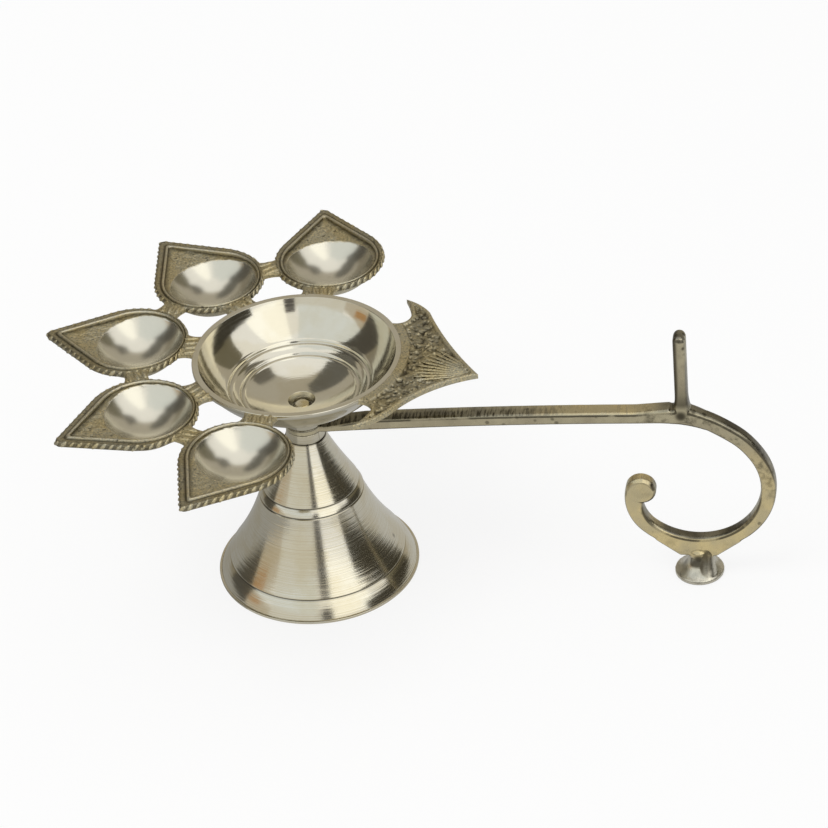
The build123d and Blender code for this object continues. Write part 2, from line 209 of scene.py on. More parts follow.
class HandleSizes(bpy.types.PropertyGroup):
    """Sizes of the handle with its finger loop."""

    eye_radius: length("Eye radius", 6.2, "Outside of the flat eye under the dish")
    eye_thick: length("Eye thickness", 2.2, "Thickness of the eye")
    hole_radius: length("Hole radius", 2.55, "Hole for the screw")
    neck_flat: length("Neck flat", 7.5, "Screw axis to the end of the flat")
    neck_taper: length("Neck taper", 12.5, "Length over which the neck becomes the rod")
    neck_rise: length("Neck rise", 1.8, "Rise of the neck")
    neck_width: length("Neck width", 7.0, "Width of the flat")
    rod_width: length("Rod width", 6.0, "Width of the rod")
    rod_thick: length("Rod thickness", 4.3, "Height of the rod")
    rod_drop: length("Rod drop", 0.3, "How far the rod lies under its line")
    rod_length: length("Rod length", 98.2, "Neck to shoulder")
    rod_slope: angle("Rod slope", 4.35, "Rise of the rod at the neck")
    rod_bend: angle("Rod bend", 3.0, "Droop along the rod")
    shoulder_radius: length("Shoulder radius", 21.0, "Bend from the rod into the loop")
    slant: angle("Slant", 32.3, "Slope of the straight stretch before the loop")
    slant_crown: length("Slant crown", 0.8, "How far that stretch is crowned outwards")
    slant_swell: length("Slant swell", 0.35, "How much it thickens in its middle")
    slant_length: length("Slant length", 9.66, "Length of that stretch")
    loop_turn: angle("Loop turn", 190.0, "Turn of the finger loop")
    curl_radius: length("Curl radius", 12.0, "Bend that ends in the knob")
    curl_turn: angle("Curl turn", 78.0, "Turn of that bend")
    curl_swell: length("Curl swell", 1.3, "How much that bend thickens up to the knob")
    curl_shift: length("Curl shift", 1.9, "How far it runs outside the middle of the knob")
    hook_width: length("Hook width", 4.6, "Width of the loop")
    hook_thick: length("Hook thickness", 5.0, "Thickness of the loop")
    knob_radius: length("Knob radius", 4.9, "Radius of the round knob")
    knob_thick: length("Knob thickness", 5.0, "Thickness of the knob")
    post_ahead: length("Post ahead", 3.9, "End of the rod to the middle of the post")
    post_height: length("Post height", 31.0, "Post above the middle of the rod")
    post_thick: length("Post thickness", 4.1, "Post along the handle")
    post_width: length("Post width", 6.0, "Post across the handle")
    post_flare: length("Post flare", 2.0, "How far the post spreads at its foot")
    post_flare_height: length("Flare height", 5.0, "Height of that spread")
    swell_length: length("Swell length", 15.0, "Length over which the rod thickens towards the post")
    swell: length("Swell", 1.5, "How much it thickens")
    sag: length("Sag", 0.6, "How much the underside hangs down round the post")
    sag_length: length("Sag length", 11.0, "How far that reaches to both sides")
    foot_radius: length("Foot radius", 8.0, "Radius of the round foot")
    foot_edge: length("Foot edge", 1.5, "Height of the foot's edge")
    foot_neck: length("Foot neck", 3.4, "Radius of the foot at the hook")
    foot_hollow: length("Foot hollow", 1.5, "How far the foot's cone curves in")
    web_foot: length("Web foot", 6.2, "Half length of the web at the foot")
    web_height: length("Web height", 1.9, "Height of the web below the hook")
    foot_height: length("Foot height", 9.85, "Floor to the underside of the hook")
    skin: length("Skin", 0.30, "Grain of the joined casting")


class Finish(bpy.types.PropertyGroup):
    """Colours of the brass."""

    polished: colour("Polished brass", (0.745, 0.71, 0.60), "Turned and buffed faces")
    cast: colour("Cast brass", (0.55, 0.505, 0.365), "Faces as they leave the mould")
    warm: colour("Warm brass", (0.58, 0.47, 0.235), "Yellow patches in the casting")
    # Gold: the handle's front faces painted brighter as lit, its rubbed top near the post, and painted sheen
    # on the raised grain of cups and tail
    gold_sheen_and_wear: colour("Gold brass, lit and rubbed", (0.90, 0.74, 0.40), "Handle's front painted as lit, rubbed tops, and sheen on raised grain")
    # Grey: the handle's faces away from its front, a copy of the brass painted as in shade
    shaded_grey: colour("Shaded grey brass", (0.36, 0.34, 0.285), "Handle away from its front, painted as in shade")
    # Dark colour for tarnish in pits and low grain, and for painted shade in hollows, on undersides and in
    # shadow
    tarnish_and_shade: colour("Tarnish and painted shade", (0.07, 0.06, 0.04), "Dark tarnish, and painted shade in hollows, underneath and in shadow")


class StudioSetup(bpy.types.PropertyGroup):
    """Camera and light."""

    camera_back: length("Camera back", 1040.92, "Camera to the screw axis, measured level")
    camera_height: length("Camera height", 813.88, "Camera above the floor")
    camera_round: angle("Camera round", 12.584, "Camera's place round the screw axis")
    camera_pan: angle("Camera pan", degrees(0.03401), "Turn of the view to the right")
    camera_tilt: angle("Camera tilt", degrees(0.62944), "Turn of the view down")
    camera_roll: angle("Camera roll", degrees(-0.09062), "Turn of the view about its own line")
    lens: FloatProperty(name="Lens", description="Focal length on a 36 mm sensor", default=4000 / 828 * 36)
    floor_colour: colour("Floor", (0.90, 0.90, 0.89), "Plain pale floor")
    card_radius: length("Card radius", 1500.0, "Distance of the cards for reflections from the screw axis")


# Lines and outlines

def bowed(start, end, bow, count=24):
    """Points of an arc from start to end that stands off its chord by bow, to the left."""
    start, end = np.array(start, float), np.array(end, float)
    if abs(bow) < 1e-9:
        return [tuple(start + (end - start) * t) for t in np.linspace(0, 1, count)]
    chord = end - start
    half = np.linalg.norm(chord) / 2
    side = np.array((-chord[1], chord[0])) / (2 * half)
    radius = (half * half + bow * bow) / (2 * bow)
    centre = (start + end) / 2 + side * (bow - radius)
    first = atan2(start[1] - centre[1], start[0] - centre[0])
    sweep = -2 * asin(half / abs(radius)) * (1 if bow > 0 else -1)
    turns = first + sweep * np.linspace(0, 1, count)
    size = abs(radius)
    return [(centre[0] + size * cos(t), centre[1] + size * sin(t)) for t in turns]


def through(first, middle, last, count=24):
    """Points of the arc through three places."""
    first, middle, last = np.array(first), np.array(middle), np.array(last)
    chord = last - first
    size = np.linalg.norm(chord)
    side = np.array((-chord[1], chord[0])) / size
    along, off = (middle - first) @ chord / size, (middle - first) @ side
    half = size / 2
    lift = (off * off + along * along - size * along) / (2 * off)
    radius = hypot(half, lift)
    bow = lift + radius if off > 0 else lift - radius
    return bowed(first, last, bow, count)


def tangent_arc(start, heading, end, count=40):
    """Points of the arc that leaves start at a heading and ends at end."""
    dx, dy = end[0] - start[0], end[1] - start[1]
    lean = atan2(dy, dx) - heading
    bow = -hypot(dx, dy) / 2 * tan(lean / 2)
    return bowed(start, end, bow, count)


def left_of(heading):
    """Unit vector to the left of a heading."""
    return np.array((-sin(heading), cos(heading)))


def walk(place, heading, radius, turn, count):
    """Places and headings along an arc; a positive turn is to the left."""
    reach = radius * np.sign(turn)
    centre = np.array(place) + reach * left_of(heading)
    headings = heading + turn * np.linspace(0, 1, count)
    return [(centre - reach * left_of(now), now) for now in headings]


def softened(profile, radius, least_turn=radians(18)):
    """Closed profile with its sharp corners rounded."""
    points = [np.array(p, float) for p in profile]
    result = []
    for index, here in enumerate(points):
        before, after = points[index - 1], points[(index + 1) % len(points)]
        back, ahead = before - here, after - here
        back_size, ahead_size = np.linalg.norm(back), np.linalg.norm(ahead)
        if min(back_size, ahead_size) < 1e-9:
            continue
        cosine = np.clip(-(back @ ahead) / (back_size * ahead_size), -1, 1)
        turn = np.arccos(cosine)
        if turn < least_turn:
            result.append(tuple(here))
            continue
        reach = min(radius * tan(turn / 2), 0.45 * back_size, 0.45 * ahead_size)
        first, last = here + back * reach / back_size, here + ahead * reach / ahead_size
        for t in np.linspace(0, 1, 6):
            result.append(tuple((1 - t) ** 2 * first + 2 * t * (1 - t) * here + t * t * last))
    return result


def path_lengths(profile):
    """Distance along a profile at each of its points."""
    steps = [0.0]
    for before, after in zip(profile, profile[1:]):
        steps.append(steps[-1] + hypot(after[0] - before[0], after[1] - before[1]))
    return steps


# Meshes

def skin(rows, loop_rows=False):
    """Vertices and faces of a surface through closed rows of points; a row of one point is a pole."""
    verts, faces, starts = [], [], []
    for row in rows:
        starts.append((len(verts), len(row)))
        verts.extend(tuple(point) for point in row)
    pairs = list(zip(starts, starts[1:]))
    if loop_rows:
        pairs.append((starts[-1], starts[0]))
    for (low, low_count), (high, high_count) in pairs:
        count = max(low_count, high_count)
        for i in range(count):
            j = (i + 1) % count
            if low_count == 1:
                faces.append((low, high + j, high + i))
            elif high_count == 1:
                faces.append((low + i, low + j, high))
            else:
                faces.append((low + i, low + j, high + j, high + i))
    return verts, faces


def circle(radius, height, turns):
    """Level ring of points about Z."""
    return [(radius * cos(t), radius * sin(t), height) for t in turns]


def lathe(profile, segments, loop_rows=True):
    """Surface of revolution about Z of a profile of (radius, height), with the distance along it."""
    turns = np.arange(segments) * FULL_TURN / segments
    rows, spin = [], []
    for (radius, height), run in zip(profile, path_lengths(profile)):
        rows.append([(0, 0, height)] if radius < 1e-7 else circle(radius, height, turns))
        spin.extend([run] * len(rows[-1]))
    return skin(rows, loop_rows) + (spin,)


def set_values(mesh, key, values):
    """Give a mesh a number for each point."""
    layer = mesh.attributes.new(key, "FLOAT", "POINT")
    layer.data.foreach_set("value", np.array(values, np.float32))


def new_mesh(name, verts, faces, attributes=()):
    """Closed mesh with its normals outwards and its own point attributes."""
    mesh = bpy.data.meshes.new(name)
    mesh.from_pydata(verts, [], faces)
    for key, values in dict(attributes).items():
        set_values(mesh, key, values)
    work = bmesh.new()
    work.from_mesh(mesh)
    bmesh.ops.recalc_face_normals(work, faces=work.faces)
    work.to_mesh(mesh)
    work.free()
    return mesh


def joined(name, meshes):
    """One mesh from several."""
    work = bmesh.new()
    for mesh in meshes:
        work.from_mesh(mesh)
    result = bpy.data.meshes.new(name)
    work.to_mesh(result)
    work.free()
    for mesh in meshes:
        bpy.data.meshes.remove(mesh)
    return result


def place_piece(mesh, material, body, slot, *nodes, sharp=radians(38)):
    """Piece of the lamp: smooth, of one material; it rides on a body and stands for its CAD nodes."""
    mesh.materials.clear()
    mesh.materials.append(material)
    mesh.shade_smooth()
    mesh.set_sharp_from_angle(angle=sharp)
    piece = bpy.data.objects.new(mesh.name, mesh)
    bpy.context.scene.collection.objects.link(piece)
    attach(piece, body)
    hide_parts(*nodes)
    return piece


def plain_result(mesh, tree=None, values=(), modifiers=()):
    """Mesh that a Geometry Nodes tree, or other modifiers, make of a mesh."""
    carrier = bpy.data.objects.new(mesh.name, mesh)
    bpy.context.scene.collection.objects.link(carrier)
    if tree:
        modifier = carrier.modifiers.new(tree.name, "NODES")
        modifier.node_group = tree
        inputs = [item for item in tree.interface.items_tree if item.in_out == "INPUT"]
        sockets = {item.name: item.identifier for item in inputs}
        for name, value in dict(values).items():
            modifier[sockets[name]] = value
    for kind, settings in modifiers:
        modifier = carrier.modifiers.new(kind, kind)
        for name, value in settings.items():
            setattr(modifier, name, value)
    shown = carrier.evaluated_get(bpy.context.evaluated_depsgraph_get())
    result = bpy.data.meshes.new_from_object(shown)
    bpy.data.objects.remove(carrier)
    bpy.data.meshes.remove(mesh)
    return result


def set_points(name, places, vectors, edges=()):
    """Mesh of bare points, or of a line through them, with vector attributes."""
    mesh = bpy.data.meshes.new(name)
    mesh.from_pydata([tuple(p) for p in places], list(edges), [])
    for key, values in vectors.items():
        layer = mesh.attributes.new(key, "FLOAT_VECTOR", "POINT")
        layer.data.foreach_set("vector", np.array(values, np.float32).ravel())
    return mesh


# Node trees

def add(tree, kind, inputs=(), **settings):
    """New node with its settings, values and links."""
    item = tree.nodes.new(kind)
    for key, value in settings.items():
        setattr(item, key, value)
    for key, value in dict(inputs).items():
        if isinstance(value, bpy.types.NodeSocket):
            tree.links.new(value, item.inputs[key])
        else:
            item.inputs[key].default_value = value
    return item


def reckon(tree, operation, *values):
    """Output of the Math nodes that join values one after the other."""
    result = values[0]
    for value in values[1:]:
        result = add(tree, "ShaderNodeMath", {0: result, 1: value}, operation=operation).outputs[0]
    return result


def rgba(value):
    """Colour with full alpha."""
    return (*value, 1.0)


def mix_colour(tree, share, *colours):
    """Output of a Mix node between two colours, each a socket or three numbers."""
    first, second = [item if isinstance(item, bpy.types.NodeSocket) else rgba(item) for item in colours]
    return add(tree, "ShaderNodeMix", {0: share, 6: first, 7: second}, data_type="RGBA").outputs[2]


def ramp(tree, value, low, high, start=0.0, end=1.0):
    """Smooth step of a value between two limits, from start to end."""
    item = add(tree, "ShaderNodeMapRange", {0: value, 1: low, 2: high, 3: start, 4: end},
               interpolation_type="SMOOTHSTEP")
    return item.outputs[0]


def marked(tree, name):
    """Value of a mesh attribute."""
    return add(tree, "ShaderNodeAttribute", attribute_name=name).outputs["Fac"]


def grain_noise(tree, place, scale, detail, roughness=0.5):
    """Value of a noise over places."""
    inputs = {"Vector": place, "Scale": scale, "Detail": detail, "Roughness": roughness}
    return add(tree, "ShaderNodeTexNoise", inputs).outputs["Fac"]


def new_tree(name, kind, inputs, outputs):
    """Node tree with named sockets, given as (name, socket type, default)."""
    tree = bpy.data.node_groups.new(name, kind)
    for socket_name, socket_type, default in inputs:
        socket = tree.interface.new_socket(name=socket_name, in_out="INPUT", socket_type=socket_type)
        if default is not None:
            socket.default_value = default
    for socket_name, socket_type in outputs:
        tree.interface.new_socket(name=socket_name, in_out="OUTPUT", socket_type=socket_type)
    return tree, tree.nodes.new("NodeGroupInput").outputs, tree.nodes.new("NodeGroupOutput").inputs


GEOMETRY = ("Geometry", "NodeSocketGeometry", None)
MATERIAL = ("Material", "NodeSocketMaterial", None)
FLOAT = "NodeSocketFloat"


def stroke_shape(tree, size_x, size_y, size_z):
    """Rounded stroke, longest on X, as a mesh."""
    ball = add(tree, "GeometryNodeMeshUVSphere", {"Segments": 12, "Rings": 8, "Radius": 0.5})
    size = add(tree, "ShaderNodeCombineXYZ", {0: size_x, 1: size_y, 2: size_z})
    shape = add(tree, "GeometryNodeTransform", {"Geometry": ball.outputs[0], "Scale": size.outputs[0]})
    return shape.outputs[0]


def laid_along(tree):
    """Rotation that turns X along the attribute lay, and Z to the attribute out."""
    turn = (0, 0, 0)
    for name, axis, pivot in (("lay", "X", "AUTO"), ("out", "Z", "X")):
        aim = add(tree, "GeometryNodeInputNamedAttribute", {"Name": name}, data_type="FLOAT_VECTOR")
        turn = add(tree, "FunctionNodeAlignRotationToVector", {"Rotation": turn, "Vector": aim.outputs[0]},
                   axis=axis, pivot_axis=pivot).outputs[0]
    return turn


def finish_tree(tree, instances, sockets, exits):
    """Realize the instances, shade them smooth and give them their material."""
    real = add(tree, "GeometryNodeRealizeInstances", {"Geometry": instances})
    smooth = add(tree, "GeometryNodeSetShadeSmooth", {"Geometry": real.outputs[0]})
    dressed = add(tree, "GeometryNodeSetMaterial",
                  {"Geometry": smooth.outputs[0], "Material": sockets["Material"]})
    tree.links.new(dressed.outputs[0], exits["Geometry"])


def rope_tree():
    """Strokes at an even pitch along a line, each leaning as the line's attributes say."""
    inputs = [GEOMETRY, ("Pitch", FLOAT, 2 * MM), ("Length", FLOAT, 3 * MM), ("Width", FLOAT, MM),
              ("Height", FLOAT, MM), MATERIAL]
    tree, sockets, exits = new_tree("Rope border", "GeometryNodeTree", inputs, [GEOMETRY[:2]])
    curve = add(tree, "GeometryNodeMeshToCurve", {"Mesh": sockets["Geometry"]})
    even = add(tree, "GeometryNodeResampleCurve", {"Curve": curve.outputs[0], "Length": sockets["Pitch"]},
               mode="LENGTH")
    stroke = stroke_shape(tree, sockets["Length"], sockets["Width"], sockets["Height"])
    uneven = add(tree, "FunctionNodeRandomValue", {0: (0.85, 0.8, 0.75), 1: (1.12, 1.2, 1.2), "Seed": 5},
                 data_type="FLOAT_VECTOR")
    rows = add(tree, "GeometryNodeInstanceOnPoints",
               {"Points": even.outputs[0], "Instance": stroke, "Rotation": laid_along(tree),
                "Scale": uneven.outputs[0]})
    finish_tree(tree, rows.outputs[0], sockets, exits)
    return tree


def rib_tree():
    """Row of ribs side by side at each point, along the point's own attributes."""
    inputs = [GEOMETRY, ("Ribs", "NodeSocketInt", 3), ("Pitch", FLOAT, 2 * MM), ("Length", FLOAT, 5 * MM),
              ("Width", FLOAT, 2 * MM), ("Height", FLOAT, MM), MATERIAL]
    tree, sockets, exits = new_tree("Bridge ribs", "GeometryNodeTree", inputs, [GEOMETRY[:2]])
    offset = add(tree, "ShaderNodeCombineXYZ", {1: sockets["Pitch"]})
    span = reckon(tree, "MULTIPLY", reckon(tree, "SUBTRACT", sockets["Ribs"], 1.0), sockets["Pitch"])
    start = add(tree, "ShaderNodeCombineXYZ", {1: reckon(tree, "MULTIPLY", span, -0.5)})
    line = add(tree, "GeometryNodeMeshLine",
               {"Count": sockets["Ribs"], "Start Location": start.outputs[0], "Offset": offset.outputs[0]})
    rib = stroke_shape(tree, sockets["Length"], sockets["Width"], sockets["Height"])
    row = add(tree, "GeometryNodeInstanceOnPoints", {"Points": line.outputs[0], "Instance": rib})
    rows = add(tree, "GeometryNodeInstanceOnPoints",
               {"Points": sockets["Geometry"], "Instance": row.outputs[0], "Rotation": laid_along(tree)})
    finish_tree(tree, rows.outputs[0], sockets, exits)
    return tree


def fan_tree():
    """Fan of rays that point at the object's own single vertex."""
    inputs = [GEOMETRY, ("Rays", "NodeSocketInt", 9), ("First", FLOAT, 0.0), ("Last", FLOAT, 1.0),
              ("Inner", FLOAT, 5 * MM), ("Length", FLOAT, 15 * MM), ("Width", FLOAT, MM),
              ("Height", FLOAT, MM), MATERIAL]
    tree, sockets, exits = new_tree("Ray fan", "GeometryNodeTree", inputs, [GEOMETRY[:2]])
    index = add(tree, "GeometryNodeInputIndex").outputs[0]
    last_index = reckon(tree, "SUBTRACT", sockets["Rays"], 1.0)
    share = reckon(tree, "DIVIDE", index, last_index)
    sweep = reckon(tree, "SUBTRACT", sockets["Last"], sockets["First"])
    turn = reckon(tree, "ADD", sockets["First"], reckon(tree, "MULTIPLY", share, sweep))
    facing = add(tree, "ShaderNodeCombineXYZ", {2: turn})
    line = add(tree, "GeometryNodeMeshLine", {"Count": sockets["Rays"], "Offset": (0, 0, 0)})
    middle = reckon(tree, "ADD", sockets["Inner"], reckon(tree, "MULTIPLY", sockets["Length"], 0.5))
    shift = add(tree, "ShaderNodeCombineXYZ", {0: middle})
    ray = stroke_shape(tree, sockets["Length"], sockets["Width"], sockets["Height"])
    set_off = add(tree, "GeometryNodeTransform", {"Geometry": ray, "Translation": shift.outputs[0]})
    fan = add(tree, "GeometryNodeInstanceOnPoints",
              {"Points": line.outputs[0], "Instance": set_off.outputs[0], "Rotation": facing.outputs[0]})
    rows = add(tree, "GeometryNodeInstanceOnPoints",
               {"Points": sockets["Geometry"], "Instance": fan.outputs[0]})
    finish_tree(tree, rows.outputs[0], sockets, exits)
    return tree


# Shader groups

def turning_lines():
    """Fine lines that a lathe tool leaves, along the attribute spin."""
    tree, sockets, exits = new_tree("turning lines", "ShaderNodeTree", [("Lines", FLOAT, 3000.0)],
                                    [("Height", FLOAT), ("Streaks", FLOAT)])
    spin = marked(tree, "spin")
    fine, broad = [add(tree, "ShaderNodeTexNoise", {"W": spin, "Scale": scale, "Detail": detail},
                       noise_dimensions="1D").outputs["Fac"]
                   for scale, detail in ((sockets["Lines"], 3.0), (950.0, 2.0))]
    height = reckon(tree, "ADD", reckon(tree, "MULTIPLY", fine, 0.6), reckon(tree, "MULTIPLY", broad, 0.8))
    tree.links.new(height, exits["Height"])
    tree.links.new(fine, exits["Streaks"])
    return tree


def cast_skin():
    """Grain and pits of a sand casting, and patches of another tint."""
    inputs = [("Grain", FLOAT, 900.0), ("Pits", FLOAT, 260.0)]
    outputs = [("Height", FLOAT), ("Pit", FLOAT), ("Patch", FLOAT)]
    tree, sockets, exits = new_tree("cast skin", "ShaderNodeTree", inputs, outputs)
    place = add(tree, "ShaderNodeTexCoord").outputs["Object"]
    grain = grain_noise(tree, place, sockets["Grain"], 4.0, 0.6)
    cells = add(tree, "ShaderNodeTexVoronoi", {"Vector": place, "Scale": sockets["Pits"]})
    spread = grain_noise(tree, place, 60.0, 1.0)
    pit = reckon(tree, "MULTIPLY", ramp(tree, cells.outputs["Distance"], 0.24, 0.10),
                 ramp(tree, spread, 0.50, 0.62))
    patch = ramp(tree, grain_noise(tree, place, 85.0, 3.0), 0.42, 0.62)
    height = reckon(tree, "SUBTRACT", grain, reckon(tree, "MULTIPLY", pit, 1.2))
    for name, value in (("Height", height), ("Pit", pit), ("Patch", patch)):
        tree.links.new(value, exits[name])
    return tree


def hollow_shade_and_tarnish():
    """Share of painted shade with tarnish in corners and hollows, from ambient occlusion and the mesh's own
    marks, broken up by a fine noise.
    """
    inputs = [("Reach", FLOAT, 2 * MM), ("Most", FLOAT, 0.9)]
    tree, sockets, exits = new_tree("hollow shade and tarnish", "ShaderNodeTree", inputs, [("Shade and tarnish", FLOAT)])
    place = add(tree, "ShaderNodeTexCoord").outputs["Object"]
    # Ambient occlusion: darker where shade falls in corners and hollows
    shut = add(tree, "ShaderNodeAmbientOcclusion", {"Distance": sockets["Reach"]}, samples=8,
               only_local=True)
    speckle = reckon(tree, "SUBTRACT", grain_noise(tree, place, 700.0, 2.0), 0.5)
    open_share = reckon(tree, "ADD", shut.outputs["AO"], reckon(tree, "MULTIPLY", speckle, 0.5))
    shade_and_tarnish = reckon(tree, "MAXIMUM", ramp(tree, open_share, 0.78, 0.32), marked(tree, "shade_and_tarnish"))
    tree.links.new(reckon(tree, "MULTIPLY", shade_and_tarnish, sockets["Most"]), exits["Shade and tarnish"])
    return tree


# Materials

def empty_material(name):
    """Material with an empty tree."""
    material = bpy.data.materials.new(name)
    material.use_nodes = True
    material.node_tree.nodes.clear()
    return material, material.node_tree


def new_material(name):
    """Metal with its Principled shader."""
    material, tree = empty_material(name)
    shader = add(tree, "ShaderNodeBsdfPrincipled", {"Metallic": 1.0})
    add(tree, "ShaderNodeOutputMaterial", {"Surface": shader.outputs[0]})
    return material, tree, shader


def place_group(tree, made, inputs=()):
    """Outputs of a shader group placed in a material, with its own values."""
    return add(tree, "ShaderNodeGroup", inputs, node_tree=made).outputs


def bump(tree, height, distance):
    """Normal of a bump; its distance is in metres."""
    return add(tree, "ShaderNodeBump", {"Height": height, "Distance": distance}).outputs[0]


def dress(tree, shader, tint, rough, normal=None):
    """Link a colour, a roughness and a normal to a shader."""
    tree.links.new(tint, shader.inputs["Base Color"])
    tree.links.new(rough, shader.inputs["Roughness"])
    if normal is not None:
        tree.links.new(normal, shader.inputs["Normal"])


def turned_brass(groups, finish):
    """Bell: turned and buffed, with tool lines, painted shade in its grooves and a dark spot at a small pit.
    """
    material, tree, shader = new_material("turned brass")
    lines = place_group(tree, groups["lines"], {"Lines": 2600.0})
    cast = place_group(tree, groups["cast"])
    tint = mix_colour(tree, reckon(tree, "MULTIPLY", cast["Patch"], 0.25), finish.polished, finish.warm)
    tint = mix_colour(tree, ramp(tree, lines["Streaks"], 0.40, 0.66, 0.0, 0.22), tint, finish.warm)
    # Painted shade in the grooves and the dark pit spot, from the mesh's marks
    tint = mix_colour(tree, marked(tree, "shade_and_tarnish"), tint, finish.tarnish_and_shade)
    rough = ramp(tree, lines["Streaks"], 0.2, 0.8, 0.10, 0.22)
    dress(tree, shader, tint, rough, bump(tree, lines["Height"], 0.028 * MM))
    return material


def dish_brass(groups, finish):
    """Dish: turned and polished, with painted shade in its recess, its turned lines and its hollows, and
    painted shadow underneath.
    """
    material, tree, shader = new_material("polished brass")
    lines = place_group(tree, groups["lines"], {"Lines": 2200.0})
    cast = place_group(tree, groups["cast"])
    shade_and_tarnish = place_group(tree, groups["shade_and_tarnish"], {"Reach": 3 * MM, "Most": 0.75})
    tint = mix_colour(tree, reckon(tree, "MULTIPLY", cast["Patch"], 0.18), finish.polished, finish.warm)
    tint = mix_colour(tree, shade_and_tarnish["Shade and tarnish"], tint, finish.tarnish_and_shade)
    rough = ramp(tree, lines["Streaks"], 0.2, 0.8, 0.07, 0.16)
    dress(tree, shader, tint, rough, bump(tree, lines["Height"], 0.010 * MM))
    return material


def leaf_brass(groups, finish):
    """Cups and tail: cast, with painted shade and tarnish in the hollows and painted sheen on the raised
    grain; the attribute polish marks the turned bowls.
    """
    material, tree, shader = new_material("cast brass")
    polish = marked(tree, "polish")
    lines = place_group(tree, groups["lines"], {"Lines": 1800.0})
    cast = place_group(tree, groups["cast"], {"Grain": 1500.0, "Pits": 420.0})
    shade_and_tarnish = place_group(tree, groups["shade_and_tarnish"], {"Reach": 1.4 * MM, "Most": 0.92})
    raw = mix_colour(tree, reckon(tree, "MULTIPLY", cast["Patch"], 0.6), finish.cast, finish.warm)
    # Raised grain turned gold: a painted sheen
    raw = mix_colour(tree, ramp(tree, cast["Height"], 0.50, 0.64, 0.0, 0.55), raw, finish.gold_sheen_and_wear)
    sunk = reckon(tree, "MAXIMUM", ramp(tree, cast["Height"], 0.46, 0.34, 0.0, 0.5),
                  reckon(tree, "MULTIPLY", cast["Pit"], 0.4))
    # Darker in the low grain and pits (tarnish), then painted shade with tarnish in the hollows
    for dark in (sunk, shade_and_tarnish["Shade and tarnish"]):
        raw = mix_colour(tree, dark, raw, finish.tarnish_and_shade)
    tint = mix_colour(tree, polish, raw, finish.polished)
    rough = add(tree, "ShaderNodeMix", {0: polish, 2: 0.35, 3: 0.225}).outputs[0]
    coarse, fine = bump(tree, cast["Height"], 0.26 * MM), bump(tree, lines["Height"], 0.010 * MM)
    normal = add(tree, "ShaderNodeMix", {0: polish, 4: coarse, 5: fine}, data_type="VECTOR").outputs[1]
    dress(tree, shader, tint, rough, normal)
    return material


